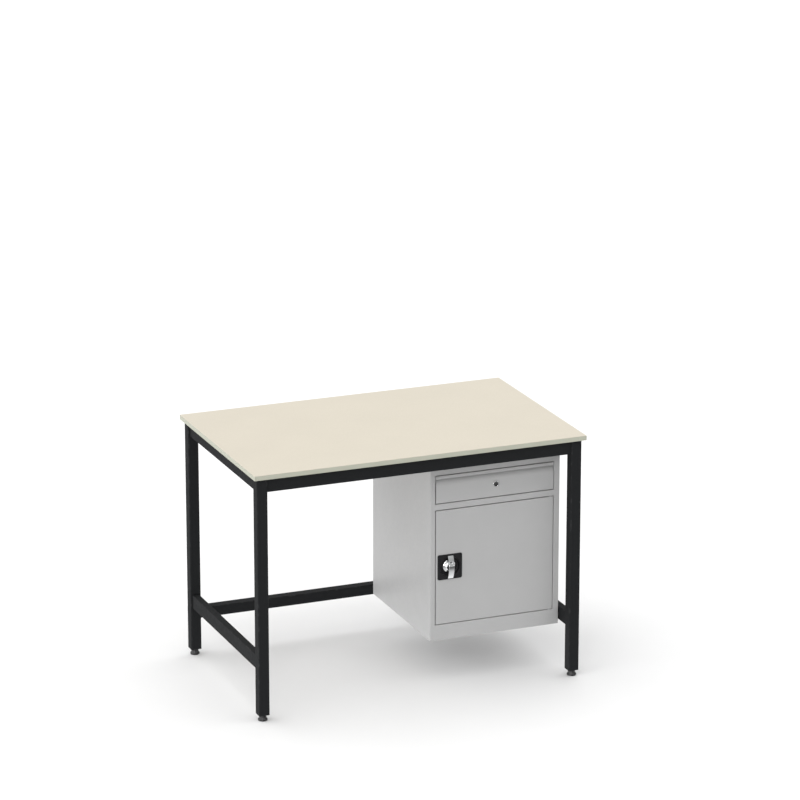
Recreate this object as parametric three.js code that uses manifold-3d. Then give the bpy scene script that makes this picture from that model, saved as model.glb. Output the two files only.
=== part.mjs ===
// A work desk: a welded frame of square steel tube, a thin laminated top, and a sheet steel cabinet
// hung under its right half, with one shallow drawer above one cupboard door.
// Millimetres, +Z up, the front faces -Y. The origin is on the floor under the middle of the worktop.

import * as THREE from "three";
import { mergeVertices } from "three/addons/utils/BufferGeometryUtils.js";
import Module from "manifold-3d";

const wasm = await Module();
wasm.setup();

// ---------------------------------------------------------------- driving dimensions

// worktop
const TOP_WIDTH = 1200;
const TOP_DEPTH = 750;
const TOP_HEIGHT = 872.5;
const BOARD = 15.5;
const LAMINATE = 1;
const EDGE_BAND = 1.5;

// frame
const OVERHANG_SIDE = 12;
const OVERHANG_FRONT = 12.5;
const LEG = 38;
const LEG_WALL = 2;
const LEG_CORNER = 4;
const RAIL_HEIGHT = 50;
const RAIL_WIDTH = 25;
const RAIL_WALL = 1.5;
const RAIL_CORNER = 3;
const LOW_RAIL_TOP = 226;
const STRETCHER_TOP = 175;
const CORNER_STEPS = 3;

// levelling feet
const FOOT_HEIGHT = 22;
const FOOT_GAP = 0.5;
const FOOT_BELL = [
  [14, 0],
  [16, 1.5],
  [16.5, 4.5],
  [16, 8],
  [13.5, 11.5],
  [12.5, 14.5],
];
const STUD_RADIUS = 5;
const STUD_LENGTH = 40;
const PLUG_LENGTH = 20;
const PLUG_CORNER = 2.5;
const FOOT_SIDES = 24;
const PLUG_BORE_STEPS = 12;

// cabinet shell
const SHEET = 1.25;
const CABINET_WIDTH = 480;
const CABINET_DEPTH = 525;
const CABINET_LEFT = 73;
const CABINET_FRONT = -262;
const CABINET_BOTTOM = 164;
const STILE_LEFT = 18.25;
const STILE_RIGHT = 21.25;
const FASCIA_TOP = 218.75;
const DIVIDER_BOTTOM = 632.25;
const DIVIDER_TOP = 653.75;
const HEADER_BOTTOM = 756.25;
const FRONT_GAP = 2.5;
const SHORT_RETURN = 12;
const DEEP_RETURN = 16;

// cabinet fittings
const SHELF_TOP = 410;
const SHELF_FLANGE = 15;
const SHELF_FRONT_SETBACK = 40;
const SHELF_REAR_GAP = 6;
const SHELF_SIDE_GAP = 0.75;
const LEDGE_WIDTH = 12;
const LEDGE_HEIGHT = 14;
const BRACKET_HEIGHT = 106;

// telescopic slides
const SLIDE_LENGTH = 450;
const SLIDE_THICKNESS = 12.75;
const SLIDE_OUTER_HEIGHT = 45;
const SLIDE_MIDDLE_HEIGHT = 39.5;
const SLIDE_INNER_HEIGHT = 34;
const SLIDE_OUTER_REACH = 11.75;
const SLIDE_MIDDLE_START = 2.25;
const SLIDE_MIDDLE_WEB = 6.25;
const SLIDE_MIDDLE_END = 11;
const SLIDE_INNER_START = 8.5;
const SLIDE_CENTRE = 698;

// drawer
const TRAY_BOTTOM = 662;
const TRAY_HEIGHT = 73;
const TRAY_DEPTH = 450;
const PULL_LIP = 12;
const PULL_DEPTH = 13.75;
const PULL_CURVE = 25;
const PULL_HANDLES = [[0, 0.4], [0.38, 0.76]];
const PULL_CURVE_TOP = 0.96;
const PULL_STEPS = 8;
const DRAWER_FRONT_DEPTH = 15;
const TRAY_SETBACK = 15.5;

// drawer lock
const LOCK_OFFSET = 2.5;
const LOCK_HEIGHT = 701.75;
const LOCK_BEZEL_RADIUS = 11;
const LOCK_BEZEL = 3.5;
const LOCK_BODY_RADIUS = 9.75;
const LOCK_BODY_LENGTH = 20;
const LOCK_BORE_RADIUS = 8.25;
const LOCK_PLUG_RADIUS = 7.75;
const LOCK_PLUG_PROUD = 2.5;
const LOCK_STUB_RADIUS = 4;
const LOCK_STUB_LENGTH = 4.5;
const LOCK_CAM_LENGTH = 66;
const LOCK_CAM_WIDTH = 16;
const LOCK_CAM = 2;

// door
const HINGE_INSET = 10;
const HINGE_SETBACK = 6;
const PIN_RADIUS = 3;
const PIN_HEAD_RADIUS = 4.5;
const PIN_REACH = 8.75;
const PIN_HEAD = 4;
const PIN_COLLAR = 2;
const INNER_SHEET_GAP = 0.5;

// door handle
const PLATE = 90;
const PLATE_THICKNESS = 3;
const PLATE_CORNER = 6;
const PLATE_EDGE_DISTANCE = 6;
const HANDLE_HEIGHT = 426.25;
const DISH_RADIUS = 35.5;
const DISH_DEPTH = 10;
const DISH_WALL = 1.5;
const HUB_RADIUS = 23;
const HUB = 2.5;
const HUB_GAP = 0.5;
const POST_RADIUS = 9;
const BAR_WIDTH = 20;
const BAR_LENGTH = 81.5;
const BAR_THICKNESS = 4;
const BAR_END_PROUD = 5.5;
const BAR_MIDDLE_PROUD = 17;
const BAR_STEPS = 12;
const CAP_THICKNESS = 2;
const CAP_SHOULDER = 12;
const CAP_TIP = 3.5;
const SHAFT_RADIUS = 7;
const KEY_OFFSET = 19.5;
const KEY_RADIUS = 6;
const KEY_PROUD = 0.75;
const KEY_DEPTH = 9;
const KEY_BOSS_RADIUS = 8.5;
const KEY_BOSS_END = 6;
const KEY_SLOT_WIDTH = 1.5;
const KEY_SLOT_DEPTH = 2;
const KEY_SLOT_SHARE = 0.6;
const BLADE_LENGTH = 62;
const BLADE_WIDTH = 20;
const BLADE = 2.5;
const BLADE_SETBACK = 1.5;
const KEEPER_HEIGHT = 54;
const KEEPER_SETBACK = 14.5;
const KEEPER_DEPTH = 22;
const KEEPER_REACH = 16.5;

// fits, and how far a cutting shape runs past what it cuts
const FIT = 0.25;
const LOOSE_FIT = 0.5;
const PASS = 1;
const ROUND_SIDES = 24;
const FINE_SIDES = 48;

// ---------------------------------------------------------------- derived places

const topUnderside = TOP_HEIGHT - LAMINATE - BOARD;
const frameX = TOP_WIDTH / 2 - OVERHANG_SIDE;
const frameY = TOP_DEPTH / 2 - OVERHANG_FRONT;
const legX = frameX - LEG / 2;
const legY = frameY - LEG / 2;

const cabinetRight = CABINET_LEFT + CABINET_WIDTH;
const cabinetRear = CABINET_FRONT + CABINET_DEPTH;
const openingLeft = CABINET_LEFT + STILE_LEFT;
const openingRight = cabinetRight - STILE_RIGHT;
const lockX = (openingLeft + openingRight) / 2 + LOCK_OFFSET;
const insideLeft = CABINET_LEFT + SHEET;
const insideRight = cabinetRight - SHEET;
const insideRear = cabinetRear - SHEET;
const returnEnd = CABINET_FRONT + SHORT_RETURN;

const frontLeft = openingLeft + FRONT_GAP;
const frontRight = openingRight - FRONT_GAP;
const doorBottom = FASCIA_TOP + FRONT_GAP;
const doorTop = DIVIDER_BOTTOM - FRONT_GAP;
const drawerBottom = DIVIDER_TOP + FRONT_GAP;
const drawerTop = HEADER_BOTTOM - FRONT_GAP;

const hingeX = frontRight - HINGE_INSET;
const hingeY = CABINET_FRONT + HINGE_SETBACK;
const handleX = frontLeft + PLATE_EDGE_DISTANCE + PLATE / 2;
const plateFace = CABINET_FRONT - PLATE_THICKNESS;
const dishFloor = plateFace + DISH_DEPTH;
const doorBack = CABINET_FRONT + DEEP_RETURN;
const bladeFront = doorBack + BLADE_SETBACK;

// ---------------------------------------------------------------- materials

function paint(color, roughness, metalness) {
  return new THREE.MeshStandardMaterial({ color, roughness, metalness });
}

const FRAME_PAINT = paint(0x2b2d2f, 0.6, 0.3);
const CABINET_PAINT = paint(0xb4b6b5, 0.55, 0.2);
const LAMINATE_SHEET = paint(0xe5decc, 0.5, 0);
const BAND_PLASTIC = paint(0xbdbba8, 0.55, 0);
const CHIPBOARD = paint(0xb08d5c, 0.9, 0);
const ZINC = paint(0xb8bcc0, 0.35, 0.9);
const CHROME = paint(0xd8dadc, 0.12, 1);
const SATIN_CHROME = paint(0xa4a6a8, 0.3, 1);
const BLACK_PLASTIC = paint(0x151516, 0.4, 0);
const FOOT_PLASTIC = paint(0x1c1c1e, 0.45, 0);
const DARK_NICKEL = paint(0x5c5c5e, 0.35, 1);

// ---------------------------------------------------------------- solids

function toSolid(geometry) {
  const bare = geometry.clone();
  bare.deleteAttribute("normal");
  bare.deleteAttribute("uv");
  const merged = mergeVertices(bare);
  const vertProperties = new Float32Array(merged.attributes.position.array);
  const triVerts = new Uint32Array(merged.index.array);
  return new wasm.Manifold(new wasm.Mesh({ numProp: 3, vertProperties, triVerts }));
}

function toGeometry(solid) {
  const mesh = solid.getMesh();
  const geometry = new THREE.BufferGeometry();
  geometry.setAttribute("position", new THREE.BufferAttribute(mesh.vertProperties, 3));
  geometry.setIndex(new THREE.BufferAttribute(mesh.triVerts, 1));
  geometry.computeVertexNormals();
  return geometry;
}

function cut(base, ...tools) {
  return toGeometry(tools.reduce((solid, tool) => solid.subtract(toSolid(tool)), toSolid(base)));
}

function join(...parts) {
  const [first, ...rest] = parts.map(toSolid);
  return toGeometry(rest.reduce((solid, part) => solid.add(part), first));
}

function common(first, second) {
  return toGeometry(toSolid(first).intersect(toSolid(second)));
}

// A box from its lowest to its highest corner.
function boxBetween(low, high) {
  const size = high.map((value, i) => value - low[i]);
  const middle = high.map((value, i) => (value + low[i]) / 2);
  return new THREE.BoxGeometry(...size).translate(...middle);
}

// An outline in x and y, extruded up from z = 0.
function extrude(outline, length, curveSegments = CORNER_STEPS) {
  return new THREE.ExtrudeGeometry(outline, { depth: length, bevelEnabled: false, curveSegments });
}

// An outline given in (y, z), extruded along +X from x = start.
function extrudeAlongX(points, start, end) {
  const outline = new THREE.Shape(points.map(([y, z]) => new THREE.Vector2(y, z)));
  return extrude(outline, end - start).rotateZ(Math.PI / 2).rotateY(Math.PI / 2).translate(start, 0, 0);
}

// An outline given in (x, z), extruded along +Y from y = start.
function extrudeAlongY(points, start, end) {
  const outline = new THREE.Shape(points.map(([x, z]) => new THREE.Vector2(x, z)));
  return extrude(outline, end - start).rotateX(Math.PI / 2).translate(0, end, 0);
}

// An outline given in (x, y), extruded up from z = low.
function extrudeUp(points, low, high) {
  const outline = new THREE.Shape(points.map(([x, y]) => new THREE.Vector2(x, y)));
  return extrude(outline, high - low).translate(0, 0, low);
}

// The closed section of a folded sheet. The path is one face of the sheet, the thickness lies on its left.
function foldedSheet(path, thickness) {
  const directions = path.slice(1).map((point, i) => {
    const step = new THREE.Vector2(point[0] - path[i][0], point[1] - path[i][1]);
    return step.normalize();
  });
  const otherFace = path.map((point, i) => {
    const before = directions[Math.max(i - 1, 0)];
    const after = directions[Math.min(i, directions.length - 1)];
    const normal = new THREE.Vector2(-before.y - after.y, before.x + after.x).normalize();
    const reach = thickness / (-normal.x * after.y + normal.y * after.x);
    return [point[0] + normal.x * reach, point[1] + normal.y * reach];
  });
  return path.concat(otherFace.reverse());
}

function roundedRectangle(width, height, radius, Kind) {
  const x = width / 2;
  const y = height / 2;
  const outline = new Kind();
  outline.moveTo(radius - x, -y);
  outline.lineTo(x - radius, -y);
  outline.absarc(x - radius, radius - y, radius, -Math.PI / 2, 0);
  outline.lineTo(x, y - radius);
  outline.absarc(x - radius, y - radius, radius, 0, Math.PI / 2);
  outline.lineTo(radius - x, y);
  outline.absarc(radius - x, y - radius, radius, Math.PI / 2, Math.PI);
  outline.lineTo(-x, radius - y);
  outline.absarc(radius - x, radius - y, radius, Math.PI, -Math.PI / 2);
  return outline;
}

// Open-ended rectangular tube along +Z.
function tube(width, height, wall, corner, length) {
  const outline = roundedRectangle(width, height, corner, THREE.Shape);
  outline.holes.push(roundedRectangle(width - 2 * wall, height - 2 * wall, corner - wall, THREE.Path));
  return extrude(outline, length);
}

// A round bar along +Y from y = start to y = end.
function rod(radius, start, end, sides) {
  return new THREE.CylinderGeometry(radius, radius, end - start, sides).translate(0, (start + end) / 2, 0);
}

// A solid of revolution about Z. The profile runs upwards and starts and ends on the axis.
function turned(profile, sides) {
  const points = profile.map(([radius, height]) => new THREE.Vector2(radius, height));
  return new THREE.LatheGeometry(points, sides).rotateX(Math.PI / 2);
}

const desk = new THREE.Group();

function place(name, geometry, material, position = [0, 0, 0], parent = desk) {
  const mesh = new THREE.Mesh(geometry, material);
  mesh.name = name;
  mesh.position.set(...position);
  parent.add(mesh);
}

// ---------------------------------------------------------------- frame

function makeLegs() {
  for (const [endName, sideY] of [["front", -1], ["rear", 1]]) {
    for (const [sideName, sideX] of [["left", -1], ["right", 1]]) {
      const corner = [sideX * legX, sideY * legY];
      makeLeg(`${endName}_${sideName}`, corner);
    }
  }
}

function makeLeg(where, [x, y]) {
  const leg = tube(LEG, LEG, LEG_WALL, LEG_CORNER, topUnderside - FOOT_HEIGHT);
  place(`leg_${where}`, leg, FRAME_PAINT, [x, y, FOOT_HEIGHT]);
  place(`leg_plug_${where}`, legPlug(), FOOT_PLASTIC, [x, y, FOOT_HEIGHT]);
  place(`foot_${where}`, levellingFoot(), FOOT_PLASTIC, [x, y, 0]);
}

// The square plug in the end of a leg, with the hole its foot screws into.
function legPlug() {
  const side = LEG - 2 * LEG_WALL - LOOSE_FIT;
  const outline = roundedRectangle(side, side, PLUG_CORNER, THREE.Shape);
  const bore = new THREE.Path();
  bore.absarc(0, 0, STUD_RADIUS + LOOSE_FIT, 0, 2 * Math.PI, true);
  outline.holes.push(bore);
  return extrude(outline, PLUG_LENGTH, PLUG_BORE_STEPS);
}

// A bell-shaped foot with its stud, standing on z = 0.
function levellingFoot() {
  const neckTop = FOOT_HEIGHT - FOOT_GAP;
  const [neckRadius] = FOOT_BELL[FOOT_BELL.length - 1];
  const profile = [
    [0, 0],
    ...FOOT_BELL,
    [neckRadius, neckTop],
    [STUD_RADIUS, neckTop],
    [STUD_RADIUS, FOOT_HEIGHT + STUD_LENGTH],
    [0, FOOT_HEIGHT + STUD_LENGTH],
  ];
  return turned(profile, FOOT_SIDES);
}

// Rectangular tubes on edge, centred on the legs that they join.
function makeRails() {
  const railX = 2 * (legX - LEG / 2);
  const railY = 2 * (legY - LEG / 2);
  const across = tube(RAIL_HEIGHT, RAIL_WIDTH, RAIL_WALL, RAIL_CORNER, railX).rotateY(Math.PI / 2);
  const along = tube(RAIL_WIDTH, RAIL_HEIGHT, RAIL_WALL, RAIL_CORNER, railY).rotateX(-Math.PI / 2);
  const topRailMiddle = topUnderside - RAIL_HEIGHT / 2;
  const lowRailMiddle = LOW_RAIL_TOP - RAIL_HEIGHT / 2;
  place("top_rail_front", across, FRAME_PAINT, [-railX / 2, -legY, topRailMiddle]);
  place("top_rail_rear", across, FRAME_PAINT, [-railX / 2, legY, topRailMiddle]);
  for (const [sideName, side] of [["left", -1], ["right", 1]]) {
    place(`top_rail_${sideName}`, along, FRAME_PAINT, [side * legX, -railY / 2, topRailMiddle]);
    place(`low_rail_${sideName}`, along, FRAME_PAINT, [side * legX, -railY / 2, lowRailMiddle]);
  }
  const stretcher = tube(LEG, LEG, LEG_WALL, LEG_CORNER, railX).rotateY(Math.PI / 2);
  place("rear_stretcher", stretcher, FRAME_PAINT, [-railX / 2, legY, STRETCHER_TOP - LEG / 2]);
}

// ---------------------------------------------------------------- worktop

function makeWorktop() {
  const x = TOP_WIDTH / 2;
  const y = TOP_DEPTH / 2;
  const coreX = x - EDGE_BAND;
  const coreY = y - EDGE_BAND;
  const boardTop = topUnderside + BOARD;
  const core = boxBetween([-coreX, -coreY, topUnderside], [coreX, coreY, boardTop]);
  const sheet = boxBetween([-x, -y, boardTop], [x, y, TOP_HEIGHT]);
  place("worktop_core", core, CHIPBOARD);
  place("worktop_laminate", sheet, LAMINATE_SHEET);
  for (const [name, side] of [["front", -1], ["rear", 1]]) {
    const [near, far] = [side * coreY, side * y].sort((a, b) => a - b);
    const band = boxBetween([-x, near, topUnderside], [x, far, boardTop]);
    place(`edge_band_${name}`, band, BAND_PLASTIC);
  }
  for (const [name, side] of [["left", -1], ["right", 1]]) {
    const [near, far] = [side * coreX, side * x].sort((a, b) => a - b);
    const band = boxBetween([near, -coreY, topUnderside], [far, coreY, boardTop]);
    place(`edge_band_${name}`, band, BAND_PLASTIC);
  }
}

// ---------------------------------------------------------------- cabinet shell

// Each side is one sheet, folded round the front into a stile with a short return.
function makeCabinetSides() {
  const leftPath = [
    [CABINET_LEFT, cabinetRear],
    [CABINET_LEFT, CABINET_FRONT],
    [openingLeft, CABINET_FRONT],
    [openingLeft, returnEnd],
  ];
  const rightPath = [
    [openingRight, returnEnd],
    [openingRight, CABINET_FRONT],
    [cabinetRight, CABINET_FRONT],
    [cabinetRight, cabinetRear],
  ];
  for (const [name, path] of [["left", leftPath], ["right", rightPath]]) {
    const side = extrudeUp(foldedSheet(path, SHEET), CABINET_BOTTOM, topUnderside);
    place(`cabinet_side_${name}`, side, CABINET_PAINT);
  }
}

// The face above the drawer, folded back at its top and bottom edges.
function makeHeader() {
  const path = [
    [returnEnd, topUnderside],
    [CABINET_FRONT, topUnderside],
    [CABINET_FRONT, HEADER_BOTTOM],
    [CABINET_FRONT + DEEP_RETURN, HEADER_BOTTOM],
  ];
  const header = extrudeAlongX(foldedSheet(path, SHEET), openingLeft, openingRight);
  place("cabinet_header", header, CABINET_PAINT);
}

// A cross member: a face between the stiles, its return on top, and a floor that runs to the back.
function crossMember(low, high, returnDepth) {
  const path = [
    [CABINET_FRONT + returnDepth, high],
    [CABINET_FRONT, high],
    [CABINET_FRONT, low],
    [returnEnd + SHEET, low],
  ];
  const face = extrudeAlongX(foldedSheet(path, SHEET), openingLeft, openingRight);
  const floor = boxBetween([insideLeft, returnEnd, low], [insideRight, insideRear, low + SHEET]);
  return join(face, floor);
}

// A hole for a hinge pin, drilled up through every sheet between two heights.
function hingeHole(radius, low, high) {
  const profile = [[0, low], [radius, low], [radius, high], [0, high]];
  return turned(profile, ROUND_SIDES).translate(hingeX, hingeY, 0);
}

function makeCrossMembers() {
  const pinHole = PIN_RADIUS + FIT;
  const divider = crossMember(DIVIDER_BOTTOM, DIVIDER_TOP, SHORT_RETURN);
  const dividerHole = hingeHole(pinHole, DIVIDER_BOTTOM - SHEET, DIVIDER_BOTTOM + 2 * SHEET);
  place("cabinet_divider", cut(divider, dividerHole), CABINET_PAINT);
  const base = crossMember(CABINET_BOTTOM, FASCIA_TOP, DEEP_RETURN);
  const baseHole = hingeHole(pinHole, FASCIA_TOP - 2 * SHEET, FASCIA_TOP + SHEET);
  place("cabinet_base", cut(base, baseHole), CABINET_PAINT);
}

function makeTopAndBack() {
  const topLow = [insideLeft, returnEnd, topUnderside - SHEET];
  const top = boxBetween(topLow, [insideRight, insideRear, topUnderside]);
  const backLow = [insideLeft, insideRear, CABINET_BOTTOM];
  const back = boxBetween(backLow, [insideRight, cabinetRear, topUnderside]);
  place("cabinet_top", top, CABINET_PAINT);
  place("cabinet_back", back, CABINET_PAINT);
}

// ---------------------------------------------------------------- cabinet fittings

function makeShelf() {
  const front = CABINET_FRONT + SHELF_FRONT_SETBACK;
  const rear = insideRear - SHELF_REAR_GAP;
  const path = [
    [rear, SHELF_TOP - SHELF_FLANGE],
    [rear, SHELF_TOP],
    [front, SHELF_TOP],
    [front, SHELF_TOP - SHELF_FLANGE],
  ];
  const section = foldedSheet(path, SHEET);
  const shelf = extrudeAlongX(section, insideLeft + SHELF_SIDE_GAP, insideRight - SHELF_SIDE_GAP);
  place("shelf", shelf, CABINET_PAINT);
  makeLedge("left", insideLeft, 1, front, rear);
  makeLedge("right", insideRight, -1, front, rear);
}

// An angle on the cabinet's side that one end of the shelf rests on.
function makeLedge(name, wall, inward, front, rear) {
  const high = SHELF_TOP - SHEET;
  const low = high - LEDGE_HEIGHT;
  const start = front + SHELF_FLANGE;
  const end = rear - SHELF_FLANGE;
  const path = [[wall, low], [wall, high], [wall + inward * LEDGE_WIDTH, high]];
  const section = foldedSheet(path, -inward * SHEET);
  const ordered = inward > 0 ? section.reverse() : section;
  place(`shelf_ledge_${name}`, extrudeAlongY(ordered, start, end), CABINET_PAINT);
}

// A channel that fills the space between a side and its drawer slide.
function makeSlideBrackets() {
  const low = DIVIDER_BOTTOM + SHEET;
  const high = low + BRACKET_HEIGHT;
  const ends = [returnEnd + LOOSE_FIT, returnEnd + LOOSE_FIT + SLIDE_LENGTH];
  const leftPath = [[insideLeft, low], [openingLeft, low], [openingLeft, high], [insideLeft, high]];
  const rightPath = [[insideRight, high], [openingRight, high], [openingRight, low], [insideRight, low]];
  place("slide_bracket_left", extrudeAlongY(foldedSheet(leftPath, SHEET), ...ends), ZINC);
  place("slide_bracket_right", extrudeAlongY(foldedSheet(rightPath, SHEET), ...ends), ZINC);
}

// The angle behind the left stile that the turned latch blade catches.
function makeKeeper() {
  const front = CABINET_FRONT + KEEPER_SETBACK;
  const path = [
    [insideLeft, front + KEEPER_DEPTH],
    [insideLeft, front],
    [insideLeft + KEEPER_REACH, front],
  ];
  const half = KEEPER_HEIGHT / 2;
  const keeper = extrudeUp(foldedSheet(path, SHEET), HANDLE_HEIGHT - half, HANDLE_HEIGHT + half);
  place("latch_keeper", keeper, ZINC);
}

// A pin fixed in the cabinet, with a head on one side of its sheet and a collar on the door's side.
function hingePin(sheetLow, direction) {
  const sheetHigh = sheetLow + SHEET;
  const up = [
    [0, sheetLow - PIN_HEAD],
    [PIN_HEAD_RADIUS, sheetLow - PIN_HEAD],
    [PIN_HEAD_RADIUS, sheetLow],
    [PIN_RADIUS, sheetLow],
    [PIN_RADIUS, sheetHigh],
    [PIN_HEAD_RADIUS, sheetHigh],
    [PIN_HEAD_RADIUS, sheetHigh + PIN_COLLAR],
    [PIN_RADIUS, sheetHigh + PIN_COLLAR],
    [PIN_RADIUS, sheetHigh + PIN_REACH],
    [0, sheetHigh + PIN_REACH],
  ];
  const mirrored = up.map(([radius, height]) => [radius, sheetLow + sheetHigh - height]).reverse();
  return turned(direction > 0 ? up : mirrored, ROUND_SIDES).translate(hingeX, hingeY, 0);
}

function makeHingePins() {
  place("hinge_pin_bottom", hingePin(FASCIA_TOP - SHEET, 1), ZINC);
  place("hinge_pin_top", hingePin(DIVIDER_BOTTOM, -1), ZINC);
}

// ---------------------------------------------------------------- drawer slides

// The three members of a slide, as outlines in (distance from the cabinet, height from the middle).
function slideSections() {
  const outerHalf = SLIDE_OUTER_HEIGHT / 2;
  const middleHalf = SLIDE_MIDDLE_HEIGHT / 2;
  const innerHalf = SLIDE_INNER_HEIGHT / 2;
  const webEnd = SLIDE_MIDDLE_WEB + SHEET;
  const outerPath = [
    [SLIDE_OUTER_REACH, outerHalf],
    [0, outerHalf],
    [0, -outerHalf],
    [SLIDE_OUTER_REACH, -outerHalf],
  ];
  const innerPath = [
    [SLIDE_INNER_START, -innerHalf],
    [SLIDE_THICKNESS, -innerHalf],
    [SLIDE_THICKNESS, innerHalf],
    [SLIDE_INNER_START, innerHalf],
  ];
  const middle = [
    [SLIDE_MIDDLE_START, -middleHalf],
    [SLIDE_MIDDLE_END, -middleHalf],
    [SLIDE_MIDDLE_END, SHEET - middleHalf],
    [webEnd, SHEET - middleHalf],
    [webEnd, middleHalf - SHEET],
    [SLIDE_MIDDLE_END, middleHalf - SHEET],
    [SLIDE_MIDDLE_END, middleHalf],
    [SLIDE_MIDDLE_START, middleHalf],
    [SLIDE_MIDDLE_START, middleHalf - SHEET],
    [SLIDE_MIDDLE_WEB, middleHalf - SHEET],
    [SLIDE_MIDDLE_WEB, SHEET - middleHalf],
    [SLIDE_MIDDLE_START, SHEET - middleHalf],
  ];
  return { outer: foldedSheet(outerPath, SHEET), middle, inner: foldedSheet(innerPath, SHEET) };
}

function makeSlides() {
  const start = returnEnd + LOOSE_FIT + SHEET;
  const end = start + SLIDE_LENGTH;
  for (const [sideName, wall, inward] of [["left", openingLeft, 1], ["right", openingRight, -1]]) {
    for (const [member, section] of Object.entries(slideSections())) {
      const placed = section.map(([x, z]) => [wall + inward * x, SLIDE_CENTRE + z]);
      const outline = inward > 0 ? placed : placed.reverse();
      place(`slide_${member}_${sideName}`, extrudeAlongY(outline, start, end), ZINC);
    }
  }
}

// ---------------------------------------------------------------- drawer

// A hole for the drawer lock, through every sheet between two depths.
function lockHole(start, end) {
  const radius = LOCK_BODY_RADIUS + LOOSE_FIT;
  return rod(radius, start, end, ROUND_SIDES).translate(lockX, 0, LOCK_HEIGHT);
}

// A sheet folded up into a floor and two sides, with a wall set into each end.
function makeTray() {
  const left = openingLeft + SLIDE_THICKNESS;
  const right = openingRight - SLIDE_THICKNESS;
  const front = CABINET_FRONT + TRAY_SETBACK;
  const rear = front + TRAY_DEPTH;
  const top = TRAY_BOTTOM + TRAY_HEIGHT;
  const path = [[left, top], [left, TRAY_BOTTOM], [right, TRAY_BOTTOM], [right, top]];
  place("drawer_tray", extrudeAlongY(foldedSheet(path, SHEET), front, rear), CABINET_PAINT);
  const wallLow = [left + SHEET, front, TRAY_BOTTOM + SHEET];
  const frontWall = boxBetween(wallLow, [right - SHEET, front + SHEET, top]);
  const hole = lockHole(front - SHEET, front + 2 * SHEET);
  place("drawer_tray_front", cut(frontWall, hole), CABINET_PAINT);
  const rearWall = frontWall.clone().translate(0, TRAY_DEPTH - SHEET, 0);
  place("drawer_tray_rear", rearWall, CABINET_PAINT);
}

// One sheet: a bottom return, the flat face, the pull that rolls back from it, and the lip over the pull.
function makeDrawerFront() {
  const curveBottom = drawerTop - PULL_LIP - PULL_CURVE;
  const pullBack = CABINET_FRONT + PULL_DEPTH;
  const handles = PULL_HANDLES.map(([depth, rise]) => new THREE.Vector2(
    CABINET_FRONT + PULL_DEPTH * depth,
    curveBottom + PULL_CURVE * rise,
  ));
  const curve = new THREE.CubicBezierCurve(
    new THREE.Vector2(CABINET_FRONT, curveBottom),
    ...handles,
    new THREE.Vector2(pullBack, curveBottom + PULL_CURVE * PULL_CURVE_TOP),
  );
  const path = [
    [CABINET_FRONT + DRAWER_FRONT_DEPTH, drawerBottom],
    [CABINET_FRONT, drawerBottom],
    ...curve.getPoints(PULL_STEPS).map((point) => [point.x, point.y]),
    [pullBack, drawerTop - SHEET],
    [CABINET_FRONT + SHEET, drawerTop - SHEET],
    [CABINET_FRONT + SHEET, drawerTop - PULL_LIP],
  ];
  const front = extrudeAlongX(foldedSheet(path, -SHEET).reverse(), frontLeft, frontRight);
  const hole = lockHole(CABINET_FRONT - SHEET, CABINET_FRONT + 2 * SHEET);
  place("drawer_front", cut(front, hole), CABINET_PAINT);
}

function makeDrawerLock() {
  const lock = new THREE.Group();
  lock.position.set(lockX, CABINET_FRONT, LOCK_HEIGHT);
  desk.add(lock);
  const bezel = rod(LOCK_BEZEL_RADIUS, -LOCK_BEZEL, 0, FINE_SIDES);
  const body = rod(LOCK_BODY_RADIUS, -SHEET, LOCK_BODY_LENGTH, ROUND_SIDES);
  const bore = rod(LOCK_BORE_RADIUS, -LOCK_BEZEL - PASS, LOCK_BODY_LENGTH + PASS, ROUND_SIDES);
  place("drawer_lock_barrel", cut(join(bezel, body), bore), CHROME, [0, 0, 0], lock);
  const plug = rod(LOCK_PLUG_RADIUS, -LOCK_PLUG_PROUD, LOCK_BODY_LENGTH - LOOSE_FIT, ROUND_SIDES);
  const stub = rod(LOCK_STUB_RADIUS, 0, LOCK_BODY_LENGTH + LOCK_STUB_LENGTH, ROUND_SIDES);
  const slot = keySlot(LOCK_PLUG_RADIUS, -LOCK_PLUG_PROUD);
  place("drawer_lock_plug", cut(join(plug, stub), slot), DARK_NICKEL, [0, 0, 0], lock);
  place("drawer_lock_cam", lockCam(), ZINC, [0, LOCK_BODY_LENGTH + LOOSE_FIT, 0], lock);
}

// The blade on the back of the drawer lock, lying along +X, with its hole at the origin.
function lockCam() {
  const half = LOCK_CAM_WIDTH / 2;
  const blade = boxBetween([-half, 0, -half], [LOCK_CAM_LENGTH, LOCK_CAM, half]);
  return cut(blade, rod(LOCK_STUB_RADIUS + FIT, -LOCK_CAM, 2 * LOCK_CAM, ROUND_SIDES));
}

// An upright key slot, cut into a face that looks along -Y.
function keySlot(radius, face) {
  const half = KEY_SLOT_WIDTH / 2;
  const reach = radius * KEY_SLOT_SHARE;
  return boxBetween([-half, face - KEY_SLOT_DEPTH, -reach], [half, face + KEY_SLOT_DEPTH, reach]);
}

// ---------------------------------------------------------------- door

// A cylindrical hole behind the handle, through the sheets between two depths.
function handleHole(radius, start, end) {
  return rod(radius, start, end, FINE_SIDES).translate(handleX, 0, HANDLE_HEIGHT);
}

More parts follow.
